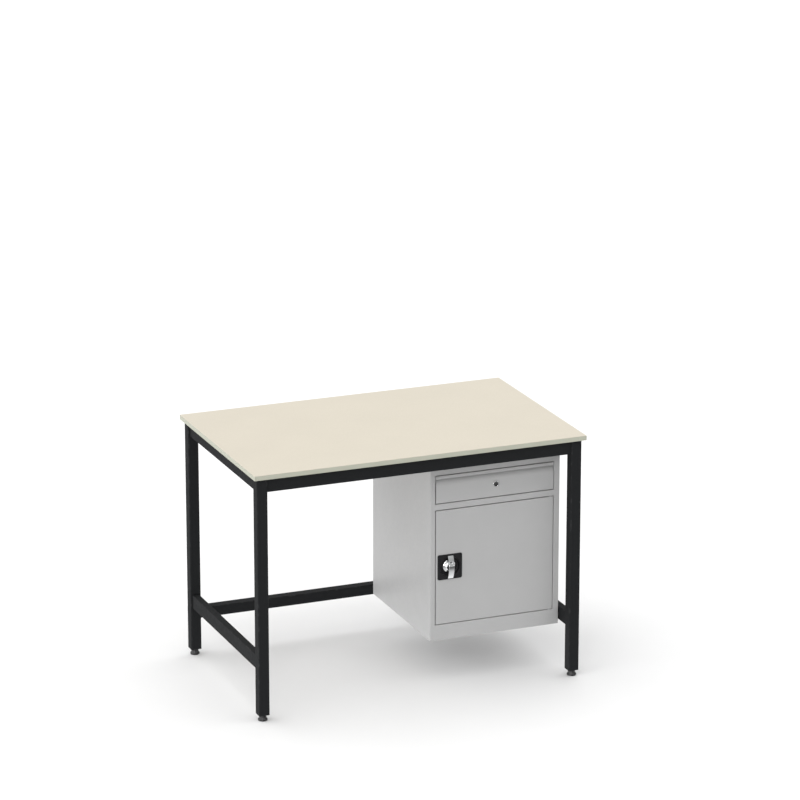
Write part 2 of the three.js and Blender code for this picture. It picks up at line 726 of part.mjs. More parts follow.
function makeDoor() {
  const outside = boxBetween([frontLeft, CABINET_FRONT, doorBottom], [frontRight, doorBack, doorTop]);
  const inside = boxBetween(
    [frontLeft + SHEET, CABINET_FRONT + SHEET, doorBottom + SHEET],
    [frontRight - SHEET, doorBack + SHEET, doorTop - SHEET],
  );
  const cupRadius = DISH_RADIUS + DISH_WALL + LOOSE_FIT;
  const dishHole = handleHole(cupRadius, CABINET_FRONT - SHEET, CABINET_FRONT + 2 * SHEET);
  const pinHoles = hingeHole(PIN_RADIUS + LOOSE_FIT, doorBottom - SHEET, doorTop + SHEET);
  place("door_pan", cut(outside, inside, dishHole, pinHoles), CABINET_PAINT);
  const margin = SHEET + INNER_SHEET_GAP;
  const sheet = boxBetween(
    [frontLeft + margin, doorBack - SHEET, doorBottom + margin],
    [frontRight - margin, doorBack, doorTop - margin],
  );
  const shaftHole = handleHole(SHAFT_RADIUS + LOOSE_FIT, doorBack - 2 * SHEET, doorBack + SHEET);
  place("door_inner_sheet", cut(sheet, shaftHole), CABINET_PAINT);
}

// ---------------------------------------------------------------- handle, in its own group
// Its origin is on the axis of the shaft, in the plane of the door's face.

const floorY = dishFloor - CABINET_FRONT;
const barFront = -PLATE_THICKNESS - BAR_MIDDLE_PROUD;
const barMiddleBack = barFront + BAR_THICKNESS;
const bladeY = bladeFront - CABINET_FRONT;

// A square plate with a round dish sunk through the door.
function handlePlate() {
  const outline = roundedRectangle(PLATE, PLATE, PLATE_CORNER, THREE.Shape);
  const plate = extrude(outline, PLATE_THICKNESS).rotateX(Math.PI / 2);
  const cup = rod(DISH_RADIUS + DISH_WALL, -SHEET, floorY + DISH_WALL, FINE_SIDES);
  const hollow = rod(DISH_RADIUS, -2 * PLATE_THICKNESS, floorY, FINE_SIDES);
  const shaftHole = rod(SHAFT_RADIUS + LOOSE_FIT, -PLATE_THICKNESS, 2 * floorY, ROUND_SIDES);
  return cut(join(plate, cup), hollow, shaftHole);
}

// How far forward the bar's face lies at a height above its middle.
function barFace(height) {
  const rise = BAR_MIDDLE_PROUD - BAR_END_PROUD;
  return -PLATE_THICKNESS - BAR_END_PROUD - rise * (1 - (2 * height / BAR_LENGTH) ** 2);
}

// A layer of the bowed bar, between two depths behind its face.
function bowedLayer(from, to) {
  const front = [];
  const back = [];
  for (let step = 0; step <= BAR_STEPS; step += 1) {
    const height = (0.5 - step / BAR_STEPS) * BAR_LENGTH;
    front.push([barFace(height) + from, height]);
    back.unshift([barFace(height) + to, height]);
  }
  return extrudeAlongX([...front, ...back], -BAR_WIDTH / 2, BAR_WIDTH / 2);
}

// Everything above a downward point on the bar: the region of the lock cap.
function capRegion(gap) {
  const half = BAR_WIDTH / 2 + PASS;
  const high = BAR_LENGTH / 2 + PASS;
  const outline = [
    [-half, high],
    [-half, CAP_SHOULDER - gap],
    [0, CAP_TIP - gap],
    [half, CAP_SHOULDER - gap],
    [half, high],
  ];
  return extrudeAlongY(outline, barFront - PASS, 0);
}

function keyBore() {
  const bore = rod(KEY_RADIUS + FIT, barFront - PASS, -KEY_BOSS_END + PASS, ROUND_SIDES);
  return bore.translate(0, 0, KEY_OFFSET);
}

// The turning handle: bar, key boss, post, hub disc and the shaft that runs through the door.
function handleBody() {
  const hubBack = floorY - HUB_GAP;
  const boss = rod(KEY_BOSS_RADIUS, barFace(KEY_OFFSET) + CAP_THICKNESS + PASS, -KEY_BOSS_END, ROUND_SIDES);
  const post = rod(POST_RADIUS, barMiddleBack - PASS, hubBack, ROUND_SIDES);
  const hub = rod(HUB_RADIUS, hubBack - HUB, hubBack, FINE_SIDES);
  const shaft = rod(SHAFT_RADIUS, hubBack - HUB, bladeY + BLADE, ROUND_SIDES);
  const seat = common(bowedLayer(-PASS, CAP_THICKNESS + FIT), capRegion(FIT));
  const whole = join(bowedLayer(0, BAR_THICKNESS), boss.translate(0, 0, KEY_OFFSET), post, hub, shaft);
  return cut(whole, seat, keyBore());
}

// The cap that covers the lock: the outer layer of the bar's upper half, pointed at its lower end.
function lockCap() {
  return cut(common(bowedLayer(0, CAP_THICKNESS), capRegion(0)), keyBore());
}

function keyPlug() {
  const face = barFace(KEY_OFFSET) - KEY_PROUD;
  return cut(rod(KEY_RADIUS, face, face + KEY_DEPTH, ROUND_SIDES), keySlot(KEY_RADIUS, face));
}

// The blade on the inner end of the shaft, hanging down, with its hole on the axis.
function latchBlade() {
  const half = BLADE_WIDTH / 2;
  const blade = boxBetween([-half, bladeY, -BLADE_LENGTH], [half, bladeY + BLADE, half]);
  return cut(blade, rod(SHAFT_RADIUS + FIT, bladeY - BLADE, bladeY + 2 * BLADE, ROUND_SIDES));
}

function makeHandle() {
  const handle = new THREE.Group();
  handle.position.set(handleX, CABINET_FRONT, HANDLE_HEIGHT);
  desk.add(handle);
  const origin = [0, 0, 0];
  place("handle_plate", handlePlate(), BLACK_PLASTIC, origin, handle);
  place("handle_bar", handleBody(), CHROME, origin, handle);
  place("handle_lock_cap", lockCap(), SATIN_CHROME, origin, handle);
  place("handle_key_plug", keyPlug(), CHROME, [0, 0, KEY_OFFSET], handle);
  place("latch_blade", latchBlade(), ZINC, origin, handle);
}

// ---------------------------------------------------------------- assembly

makeLegs();
makeRails();
makeWorktop();
makeCabinetSides();
makeHeader();
makeCrossMembers();
makeTopAndBack();
makeShelf();
makeSlideBrackets();
makeKeeper();
makeHingePins();
makeSlides();
makeTray();
makeDrawerFront();
makeDrawerLock();
makeDoor();
makeHandle();

export default desk;
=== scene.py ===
from math import atan2, ceil, cos, degrees, pi, radians, sin, sqrt, tan

import bmesh
import bpy
from mathutils import Matrix, Vector, noise


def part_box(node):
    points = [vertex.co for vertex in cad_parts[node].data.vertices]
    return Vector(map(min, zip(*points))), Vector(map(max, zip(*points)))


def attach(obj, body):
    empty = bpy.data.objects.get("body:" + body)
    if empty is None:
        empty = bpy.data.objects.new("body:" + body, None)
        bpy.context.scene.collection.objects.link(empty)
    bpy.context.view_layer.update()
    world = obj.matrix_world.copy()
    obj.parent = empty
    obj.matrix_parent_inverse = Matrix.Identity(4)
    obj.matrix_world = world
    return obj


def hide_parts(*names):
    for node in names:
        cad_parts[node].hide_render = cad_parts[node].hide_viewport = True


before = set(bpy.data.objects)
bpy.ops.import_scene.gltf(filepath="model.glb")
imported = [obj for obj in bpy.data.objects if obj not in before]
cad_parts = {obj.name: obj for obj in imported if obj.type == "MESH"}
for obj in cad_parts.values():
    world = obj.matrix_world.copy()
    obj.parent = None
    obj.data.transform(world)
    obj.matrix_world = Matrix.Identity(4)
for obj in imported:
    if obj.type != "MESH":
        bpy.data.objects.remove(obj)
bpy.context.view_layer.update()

# Every length below is in millimetres; MM turns it into Blender's metres. Places come from the CAD nodes.
MM = 0.001
SHEET = 1.25
OUTER_FOLD = 2.2
FOLD_ANGLE = radians(30)
EDGE_ANGLE = radians(40)
SMOOTH_ANGLE = radians(38)
CORNERS = ("front_left", "front_right", "rear_left", "rear_right")
ALONG = {"X": 0, "Y": 1, "Z": 2}
ACROSS = {"X": (1, 2), "Y": (0, 2), "Z": (0, 1)}
PLACE = {
    "X": lambda u, v, w: (w, u, v),
    "Y": lambda u, v, w: (u, w, v),
    "Z": lambda u, v, w: (u, v, w),
}

# ---- reading the frame


def span(node):
    """Lowest and highest corner of a CAD node, in millimetres."""
    low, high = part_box(node)
    return Vector([round(v / MM, 3) for v in low]), Vector([round(v / MM, 3) for v in high])


def middle(node):
    low, high = span(node)
    return (low + high) / 2


def across(point, axis):
    """A place in space as the two coordinates across an axis."""
    u, v = ACROSS[axis]
    return point[u], point[v]


# ---- outlines


def spaced(start, end, count):
    return [start + (end - start) * i / (count - 1) for i in range(count)]


def round_points(centre, radius, turns):
    return [(centre[0] + radius * cos(turn), centre[1] + radius * sin(turn)) for turn in turns]


def circle(radius, sides, centre=(0, 0)):
    return round_points(centre, radius, [2 * pi * i / sides for i in range(sides)])


def arc(centre, radius, start, end, steps):
    """Points on an arc, with angles in degrees."""
    return round_points(centre, radius, [radians(angle) for angle in spaced(start, end, steps + 1)])


def rectangle(us, vs):
    return [(us[0], vs[0]), (us[1], vs[0]), (us[1], vs[1]), (us[0], vs[1])]


def rounded_rectangle(width, height, radius, steps=8):
    """Points of a rounded rectangle about the origin."""
    u, v = width / 2 - radius, height / 2 - radius
    points = []
    for corner, centre in enumerate([(u, v), (-u, v), (-u, -v), (u, -v)]):
        points += arc(centre, radius, 90 * corner, 90 * corner + 90, steps)
    return points


def stadium(first, second, radius, steps=12):
    """Two half circles joined by straight sides."""
    turn = degrees(atan2(second[1] - first[1], second[0] - first[0]))
    return (arc(second, radius, turn - 90, turn + 90, steps)
            + arc(first, radius, turn + 90, turn + 270, steps))


def rounded_path(points, radius, steps=5):
    """An open path with an arc at each inner corner. A corner given as (u, v, r) has its own radius."""
    path = [tuple(points[0][:2])]
    for before, here, after in zip(points, points[1:], points[2:]):
        corner = Vector(here[:2])
        into = Vector(before[:2]) - corner
        out = Vector(after[:2]) - corner
        bend = into.angle(out)
        own = here[2] if len(here) > 2 else radius
        if own < 1e-6 or bend > pi - 1e-3:
            path.append(tuple(corner))
            continue
        reach = min(own / tan(bend / 2), 0.49 * into.length, 0.49 * out.length)
        start = corner + into.normalized() * reach
        end = corner + out.normalized() * reach
        inward = (into.normalized() + out.normalized()).normalized()
        centre = corner + inward * reach / cos(bend / 2)
        first = start - centre
        sweep = first.angle_signed(end - centre)
        for step in range(steps + 1):
            turn = Matrix.Rotation(-sweep * step / steps, 2)
            path.append(tuple(centre + turn @ first))
    path.append(tuple(points[-1][:2]))
    return path


def sheet_section(path, thickness=SHEET):
    """Closed outline of a folded sheet. The path is one face, the thickness lies on its left."""
    steps = [(Vector(b) - Vector(a)).normalized() for a, b in zip(path, path[1:])]
    other = []
    for i, point in enumerate(path):
        before = steps[max(i - 1, 0)]
        after = steps[min(i, len(steps) - 1)]
        normal = Vector((-before.y - after.y, before.x + after.x)).normalized()
        reach = thickness / normal.dot(Vector((-after.y, after.x)))
        other.append(tuple(Vector(point) + normal * reach))
    return list(path) + other[::-1]


# ---- solids


def lift(axis, outline, along, centre=(0, 0, 0)):
    """An outline as points in space, at one place along an axis."""
    return [Vector(PLACE[axis](u, v, along)) + Vector(centre) for u, v in outline]


def loft(bm, rings, cyclic=False, corner_steps=0):
    """Quads from ring to ring, with end faces unless the rings close on themselves.
    With corner_steps, the faces on the arcs of a rounded rectangle take the worn-edge material."""
    loops = [[bm.verts.new(point) for point in ring] for ring in rings]
    pairs = list(zip(loops, loops[1:]))
    if cyclic:
        pairs.append((loops[-1], loops[0]))
    for first, second in pairs:
        for i in range(len(first)):
            j = (i + 1) % len(first)
            face = bm.faces.new((first[i], first[j], second[j], second[i]))
            if corner_steps and i % (corner_steps + 1) < corner_steps:
                face.material_index = 1
    if not cyclic:
        bm.faces.new(loops[0][::-1])
        bm.faces.new(loops[-1])


def prism(bm, axis, outline, start, end):
    loft(bm, [lift(axis, outline, start), lift(axis, outline, end)])


def block(bm, low, high):
    """A box whose edges the piece's bevel rounds."""
    prism(bm, "Z", rectangle((low[0], high[0]), (low[1], high[1])), low[2], high[2])


def turned(bm, axis, centre, profile, sides=48, hollow=False):
    """A solid of revolution. The profile is (radius, place along the axis); a hollow one closes on itself."""
    rings = [lift(axis, circle(radius, sides), along, centre) for radius, along in profile]
    loft(bm, rings, cyclic=hollow)


def stud(bm, axis, centre, face, outward, shape):
    """A small shape standing on a face: its number of sides, and its profile of (radius, height)."""
    sides, profile = shape
    loft(bm, [lift(axis, circle(radius, sides, centre), face + outward * rise) for radius, rise in profile])


def plane(bm, axis, at, us, vs, outward):
    """A flat rectangle across an axis, looking up it (1) or down it (-1)."""
    face = bm.faces.new([bm.verts.new(point) for point in lift(axis, rectangle(us, vs), at)])
    face.normal_update()
    if face.normal[ALONG[axis]] * outward < 0:
        face.normal_flip()


# ---- pieces


def new_object(name, data):
    obj = bpy.data.objects.new(name, data)
    bpy.context.scene.collection.objects.link(obj)
    return obj


def apply_modifiers(obj):
    graph = bpy.context.evaluated_depsgraph_get()
    final = bpy.data.meshes.new_from_object(obj.evaluated_get(graph))
    old = obj.data
    obj.modifiers.clear()
    obj.data = final
    bpy.data.meshes.remove(old)


def raw_object(name, bm, merge=1e-3):
    bmesh.ops.remove_doubles(bm, verts=bm.verts, dist=merge)
    bmesh.ops.scale(bm, vec=(MM, MM, MM), verts=bm.verts)
    mesh = bpy.data.meshes.new(name)
    bm.to_mesh(mesh)
    bm.free()
    return new_object(name, mesh)


def closed_object(name, bm):
    bmesh.ops.recalc_face_normals(bm, faces=bm.faces)
    return raw_object(name, bm)


def combine(obj, helper, operation):
    """Applies a boolean with a helper object, which is then removed."""
    change = obj.modifiers.new("combine", "BOOLEAN")
    change.operation = operation
    change.solver = "EXACT"
    change.object = helper
    apply_modifiers(obj)
    bpy.data.objects.remove(helper)


def carve(obj, cutter, operation="DIFFERENCE"):
    combine(obj, closed_object("helper", cutter), operation)


def drill(obj, axis, centre, radius, start, end):
    """A round hole through a piece."""
    cutter = bmesh.new()
    prism(cutter, axis, circle(radius, 48, centre), start, end)
    carve(obj, cutter)


def bevel(obj, radius, segments, angle):
    edge = obj.modifiers.new("edges", "BEVEL")
    edge.width = radius * MM
    edge.segments = segments
    edge.limit_method = "ANGLE"
    edge.angle_limit = angle
    return edge


def fold(obj, radius):
    """Rounds the folds of a thin skin and gives it the sheet's thickness, inwards."""
    bevel(obj, radius, 4, FOLD_ANGLE)
    body = obj.modifiers.new("sheet", "SOLIDIFY")
    body.thickness = SHEET * MM
    body.offset = -1
    body.use_even_offset = True
    apply_modifiers(obj)


def soften(obj, radius, segments=3, worn=False):
    """Rounds the sharp edges of a solid."""
    edge = bevel(obj, radius, segments, EDGE_ANGLE)
    edge.miter_outer = "MITER_ARC"
    if worn:
        edge.material = 1
    apply_modifiers(obj)


def finish(obj, body, slot, replaces=(), material=None):
    """Shades a piece, gives it its finish, and puts it on its CAD body."""
    mesh = obj.data
    mesh.shade_smooth()
    mesh.set_sharp_from_angle(angle=SMOOTH_ANGLE)
    indices = [polygon.material_index for polygon in mesh.polygons]
    mesh.materials.clear()
    for made in FINISHES[material or slot]:
        mesh.materials.append(made)
    last = len(mesh.materials) - 1
    for polygon, index in zip(mesh.polygons, indices):
        polygon.material_index = min(index, last)
    shading = obj.modifiers.new("normals", "WEIGHTED_NORMAL")
    shading.keep_sharp = True
    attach(obj, body)
    if replaces:
        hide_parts(*replaces)


def solid(name, bm, body, slot, replaces=(), soft=0, segments=3, material=None, holes=(), worn=True):
    """A closed solid as a finished piece. Each hole is what drill takes after the piece."""
    obj = closed_object(name, bm)
    for hole in holes:
        drill(obj, *hole)
    if soft:
        soften(obj, soft, segments, worn and len(FINISHES[material or slot]) > 1)
    finish(obj, body, slot, replaces, material)


def slab(name, low, high, body, slot, replaces=(), **how):
    """A flat piece of board or sheet."""
    bm = bmesh.new()
    block(bm, low, high)
    solid(name, bm, body, slot, replaces, **how)


def folded_piece(name, node, axis, points, body="bench", slot="cabinet_paint"):
    """A folded sheet as long as its CAD node, with soft cut edges."""
    low, high = span(node)
    along = ALONG[axis]
    bm = bmesh.new()
    prism(bm, axis, sheet_section(rounded_path(points, OUTER_FOLD)), low[along], high[along])
    solid(name, bm, body, slot, [node], soft=0.2, segments=2)


def carry(node, slot, soft=0):
    """Keeps a CAD node in view, with its finish and its sharp edges rounded by a modifier."""
    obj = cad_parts[node]
    obj.data.materials.clear()
    obj.data.materials.append(FINISHES[slot][0])
    if soft:
        weld = obj.modifiers.new("weld", "WELD")
        weld.merge_threshold = 0.01 * MM
        bevel(obj, soft, 2, EDGE_ANGLE)


# ---- materials

# Nearly all of a noise texture's values lie between these.
NOISE_LOW = 0.3
NOISE_HIGH = 0.7


class Nodes:
    """A small helper for one node tree."""

    def __init__(self, tree, place):
        self.tree = tree
        self.place = self.add("ShaderNodeTexCoord").outputs[place]

    def add(self, kind, inputs=(), **settings):
        """A node with its settings, and its inputs given as values or as sockets to link."""
        node = self.tree.nodes.new(kind)
        for key, value in settings.items():
            setattr(node, key, value)
        for key, value in dict(inputs).items():
            if isinstance(value, bpy.types.NodeSocket):
                self.link(value, node.inputs[key])
            else:
                node.inputs[key].default_value = value
        return node

    def link(self, source, target):
        self.tree.links.new(source, target)

    def noise(self, scale, detail, stretch=None):
        """Noise with about `scale` features to the metre."""
        place = self.place
        if stretch:
            place = self.add("ShaderNodeMapping", {"Scale": stretch, "Vector": place}).outputs["Vector"]
        inputs = {"Scale": scale, "Detail": detail, "Vector": place}
        return self.add("ShaderNodeTexNoise", inputs).outputs["Fac"]

    def cells(self, scale, output="Distance"):
        return self.add("ShaderNodeTexVoronoi", {"Scale": scale, "Vector": self.place}).outputs[output]

    def cell_tone(self, scale):
        """One random value to each cell."""
        return self.add("ShaderNodeSeparateColor", {"Color": self.cells(scale, "Color")}).outputs["Red"]

    def remap(self, source, low, high, to_low, to_high):
        inputs = {"Value": source, "From Min": low, "From Max": high, "To Min": to_low, "To Max": to_high}
        return self.add("ShaderNodeMapRange", inputs).outputs["Result"]

    def spread(self, source, to_low=0, to_high=1):
        """Noise stretched over a range."""
        return self.remap(source, NOISE_LOW, NOISE_HIGH, to_low, to_high)

    def blend(self, factor, first, second, mode="MIX"):
        """Mixes two colours, each given as a socket or as three numbers."""
        first, second = ((*c, 1) if isinstance(c, tuple) else c for c in (first, second))
        inputs = {"Factor": factor, 6: first, 7: second}
        return self.add("ShaderNodeMix", inputs, data_type="RGBA", blend_type=mode).outputs[2]

    def ramp(self, source, stops):
        """A grey that runs through the stops, each a place from 0 to 1 and its brightness."""
        node = self.add("ShaderNodeValToRGB", {"Fac": source})
        marks = node.color_ramp.elements
        while len(marks) < len(stops):
            marks.new(1)
        for mark, (place, grey) in zip(marks, stops):
            mark.position = place
            mark.color = (grey, grey, grey, 1)
        return node.outputs["Color"]


class Finish(Nodes):
    """One material."""

    def __init__(self, name):
        self.material = bpy.data.materials.new(name)
        self.material.use_nodes = True
        super().__init__(self.material.node_tree, "Object")
        self.shader = self.tree.nodes["Principled BSDF"]

    def colour(self, source):
        self.link(source, self.shader.inputs["Base Color"])

    def roughness(self, source, low, high):
        self.link(self.spread(source, low, high), self.shader.inputs["Roughness"])

    def bump(self, height, distance, strength):
        """Relief of `distance` millimetres."""
        node = self.add("ShaderNodeBump", {"Strength": strength, "Distance": distance * MM, "Height": height})
        self.link(node.outputs["Normal"], self.shader.inputs["Normal"])

    def set(self, **values):
        for key, value in values.items():
            self.shader.inputs[key.replace("_", " ")].default_value = value


def shade(colour, factor):
    return tuple(min(channel * factor, 1) for channel in colour)


def powder_coat(name, colour, gloss, specular, worn=0):
    """Baked powder paint: soft orange peel, faint mottling, and rubbed edges where worn is over 0."""
    made = Finish(name)
    paint = made.blend(made.spread(made.noise(14, 3)), shade(colour, 0.985), shade(colour, 1.015))
    if worn:
        rubbed = made.remap(made.noise(55, 4), 0.52, 0.7, 0, worn)
        paint = made.blend(rubbed, paint, tuple(channel * 0.75 + 0.12 for channel in colour))
    made.colour(paint)
    made.roughness(made.noise(90, 3), gloss - 0.05, gloss + 0.05)
    made.set(Specular_IOR_Level=specular)
    made.bump(made.noise(420, 1), 0.03, 0.5)
    return made.material


def coated(name, colour, gloss, specular, worn):
    """Paint for the faces, and for the edges where it is rubbed."""
    paint = powder_coat(name, colour, gloss, specular)
    return [paint, powder_coat(f"{name}_edge", colour, gloss, specular, worn)]


def laminate(name, colour):
    """Pressed laminate: a fine pebbled grain with a faint fleck."""
    made = Finish(name)
    fleck = made.remap(made.noise(900, 2), 0.45, 0.75, 0, 0.35)
    sheet = made.blend(made.spread(made.noise(6, 2)), shade(colour, 0.985), shade(colour, 1.01))
    made.colour(made.blend(fleck, sheet, shade(colour, 0.93)))
    made.roughness(made.noise(240, 2), 0.42, 0.54)
    made.set(Specular_IOR_Level=0.35)
    made.bump(made.cells(700), 0.02, 0.35)
    return [made.material]


def chipboard(name):
    """Pressed wood chips."""
    made = Finish(name)
    board = made.blend(made.cell_tone(260), (0.24, 0.15, 0.07), (0.52, 0.37, 0.2))
    dust = made.remap(made.noise(40, 4), 0.35, 0.65, 0, 0.6)
    made.colour(made.blend(dust, board, (0.4, 0.27, 0.14)))
    made.set(Roughness=0.85, Specular_IOR_Level=0.2)
    made.bump(made.cells(260), 0.2, 0.5)
    return [made.material]


def metal(name, colour, low, high, stretch=None):
    """Bare or plated metal; stretch draws the grain out along an axis, as brushing does."""
    made = Finish(name)
    made.colour(made.blend(made.noise(60, 3), shade(colour, 0.9), shade(colour, 1.06)))
    lines = made.noise(700, 3, stretch)
    made.roughness(lines, low, high)
    made.set(Metallic=1)
    made.bump(lines, 0.01, 0.3)
    return [made.material]


def zinc_plate(name):
    """Bright zinc plating, with its crystalline spangle."""
    made = Finish(name)
    made.colour(made.blend(made.cell_tone(120), (0.5, 0.52, 0.54), (0.56, 0.58, 0.6)))
    made.roughness(made.noise(300, 3), 0.28, 0.46)
    made.set(Metallic=1)
    made.bump(made.noise(800, 2), 0.02, 0.3)
    return [made.material]


def plastic(name, colour, low, high, relief, specular):
    """Moulded plastic: a fine spark-eroded texture and a little unevenness in its gloss."""
    made = Finish(name)
    made.colour(made.blend(made.noise(30, 2), shade(colour, 0.97), shade(colour, 1.03)))
    made.roughness(made.noise(260, 2), low, high)
    made.set(Specular_IOR_Level=specular)
    made.bump(made.noise(1100, 2), relief, 0.3)
    return [made.material]


RECIPES = {
    "frame_paint": (coated, (0.0105, 0.0112, 0.012), 0.74, 0.11, 0.12),
    "cabinet_paint": (coated, (0.36, 0.36, 0.36), 0.36, 0.5, 0.1),
    "laminate": (laminate, (0.48, 0.442, 0.368)),
    "backing": (laminate, (0.42, 0.38, 0.31)),
    "edge_band": (plastic, (0.37, 0.375, 0.31), 0.42, 0.55, 0.02, 0.35),
    "chipboard": (chipboard,),
    "zinc": (zinc_plate,),
    "chrome": (metal, (0.78, 0.79, 0.8), 0.06, 0.14),
    "satin_chrome": (metal, (0.34, 0.35, 0.35), 0.28, 0.42, (1, 1, 0.08)),
    # Dark metal for the key plug is a painted reflection: its dark colour stands in for the dark surroundings
    # that a chrome plug face would mirror.
    "dark_nickel": (metal, (0.1, 0.1, 0.1), 0.25, 0.4, (1, 1, 0.2)),
    "black_plastic": (plastic, (0.005, 0.005, 0.006), 0.3, 0.42, 0.015, 0.3),
    "foot_plastic": (plastic, (0.008, 0.008, 0.009), 0.2, 0.34, 0.01, 0.5),
}
FINISHES = {name: make(name, *values) for name, (make, *values) in RECIPES.items()}

# ---- worktop

BACKING = 0.3
# Left, front, right and rear of each strip of the backing, counted off make_backing's lines.
BACKING_AREAS = [
    (0, 0, 7, 1), (0, 6, 7, 7), (0, 1, 1, 6), (6, 1, 7, 6),
    (2, 2, 3, 5), (3, 2, 5, 3), (3, 4, 5, 5), (4, 3, 5, 4),
]
LAMINATE_EDGE = 0.6
BAND_EDGE = 0.35


def make_worktop():
    node = "worktop_laminate"
    slab("worktop_sheet", *span(node), "bench", "laminate", [node], soft=LAMINATE_EDGE, segments=4)
    for side in ("front", "rear", "left", "right"):
        node = f"edge_band_{side}"
        slab(f"edge_strip_{side}", *span(node), "bench", "edge_band", [node], soft=BAND_EDGE)
    carry("worktop_core", "chipboard")
    make_backing()


def make_backing():
    """The thin balancing sheet on the underside of the board, round the frame and the cabinet."""
    lines = [
        span("worktop_core")[0], span("leg_front_left")[0],
        Vector((span("top_rail_left")[1].x, span("top_rail_front")[1].y)), span("cabinet_side_left")[0],
        span("cabinet_side_right")[1], Vector((span("top_rail_right")[0].x, span("top_rail_rear")[0].y)),
        span("leg_rear_right")[1], span("worktop_core")[1],
    ]
    top = lines[0].z
    bm = bmesh.new()
    for left, front, right, rear in BACKING_AREAS:
        block(bm, (lines[left].x, lines[front].y, top - BACKING), (lines[right].x, lines[rear].y, top))
    solid("underside_sheet", bm, "bench", "laminate", material="backing")


# ---- frame

TUBE_WALL = 2
TUBE_CORNER = {38: 4, 50: 3, 25: 3}
TUBE_STEPS = 8
CUT_EDGE = 0.3
BEAD = 3.2
BEAD_PITCH = 3.6
BEAD_STEP = 0.9
BEAD_RIPPLE = 0.12
BEAD_WANDER = 0.07
BEAD_TAPER = 4
BEAD_ROOT = 0.3
BEAD_TOP_GAP = 0.5
# The bead's rounded face between its two toes, in shares of its size.
BEAD_FACE = [(0.35, 0.8), (0.62, 0.62), (0.8, 0.35)]


def tube_outline(node, axis, shrink=0):
    """The outline of a tube across its axis, drawn in by a distance."""
    low, high = span(node)
    width, height = across(high - low, axis)
    corner = TUBE_CORNER[round(max(width, height))]
    centre = Vector(across((low + high) / 2, axis))
    outline = rounded_rectangle(width - 2 * shrink, height - 2 * shrink, corner - shrink, TUBE_STEPS)
    return [Vector(point) + centre for point in outline]


def tube_piece(name, node, axis):
    """Square or rectangular tube, rounded at its four corners, open at both ends."""
    start, end = (corner[ALONG[axis]] for corner in span(node))
    profile = [
        (CUT_EDGE, start), (0, start + CUT_EDGE), (0, end - CUT_EDGE), (CUT_EDGE, end),
        (TUBE_WALL - CUT_EDGE, end), (TUBE_WALL, end - CUT_EDGE),
        (TUBE_WALL, start + CUT_EDGE), (TUBE_WALL - CUT_EDGE, start),
    ]
    bm = bmesh.new()
    rings = [lift(axis, tube_outline(node, axis, shrink), along) for shrink, along in profile]
    loft(bm, rings, cyclic=True, corner_steps=TUBE_STEPS)
    solid(name, bm, "bench", "frame_paint", [node])


def weld_bead(bm, axis, inward, start, outline):
    """A rippled fillet weld round the end of a rail, on the open path given across its axis."""
    points = []
    for a, b in zip(outline, outline[1:]):
        count = max(1, round((b - a).length / BEAD_STEP))
        points += [a.lerp(b, i / count) for i in range(count)]
    points.append(outline[-1])
    rings = []
    travelled = 0
    last = len(points) - 1
    for i, point in enumerate(points):
        before = points[max(i - 1, 0)]
        along = (points[min(i + 1, last)] - before).normalized()
        normal = Vector((along.y, -along.x))
        travelled += (point - before).length
        ripple = 1 + BEAD_RIPPLE * abs(sin(pi * travelled / BEAD_PITCH))
        wander = 1 + BEAD_RIPPLE * noise.noise(Vector((travelled * BEAD_WANDER, start, point.x)))
        taper = min(1, (min(i, last - i) + 1) / BEAD_TAPER)
        size = BEAD * ripple * wander * taper
        section = [(-BEAD_ROOT, -BEAD_ROOT), (-BEAD_ROOT, size)]
        section += [(size * depth, size * rise) for depth, rise in BEAD_FACE]
        section.append((size, -BEAD_ROOT))
        ring = []
        for depth, rise in section:
            place = point + normal * depth
            ring.append(Vector(PLACE[axis](place.x, place.y, start + inward * rise)))
        rings.append(ring)
    loft(bm, rings)


def rail_outline(node, axis, whole):
    """The path of a weld across a rail: right round it, or round its sides and bottom."""
    placed = tube_outline(node, axis)
    if whole:
        return placed[::-1] + [placed[-1]]
    # Without the top: from the end of the second upper corner on.
    kept = placed[2 * TUBE_STEPS + 1:]
    top = across(span(node)[1], axis)[1] - BEAD - BEAD_TOP_GAP
    kept = [Vector((kept[0].x, top)), *kept, Vector((kept[-1].x, top))]
    return kept[::-1]


def make_frame():
    for where in CORNERS:
        tube_piece(f"leg_tube_{where}", f"leg_{where}", "Z")
        carry(f"leg_plug_{where}", "foot_plastic")
    rails = [("top_rail_front", "X", False), ("top_rail_rear", "X", False), ("rear_stretcher", "X", True)]
    for side in ("left", "right"):
        rails += [(f"top_rail_{side}", "Y", False), (f"low_rail_{side}", "Y", True)]
    for node, axis, whole in rails:
        tube_piece(f"{node}_tube", node, axis)
        bm = bmesh.new()
        outline = rail_outline(node, axis, whole)
        for corner, inward in zip(span(node), (1, -1)):
            weld_bead(bm, axis, inward, corner[ALONG[axis]], outline)
        solid(f"{node}_welds", bm, "bench", "frame_paint")


# ---- feet

THREAD_RADIUS = 5
THREAD_PITCH = 1.5
THREAD_DEPTH = 0.45
THREAD_SIDES = 24
THREAD_STEP = 0.375
NECK_RADIUS = 12.5
NECK_GAP = 0.5
# The rise of a foot from its round base to its fluted neck: radius and height.
FOOT_WAIST = [(14, 9.6), (13.1, 10.8), (12.6, 12.2), (NECK_RADIUS, 13.6), (NECK_RADIUS, 14.2)]
FLUTES = 12
FLUTE_DEPTH = 0.5
FLUTE_LOW = 14


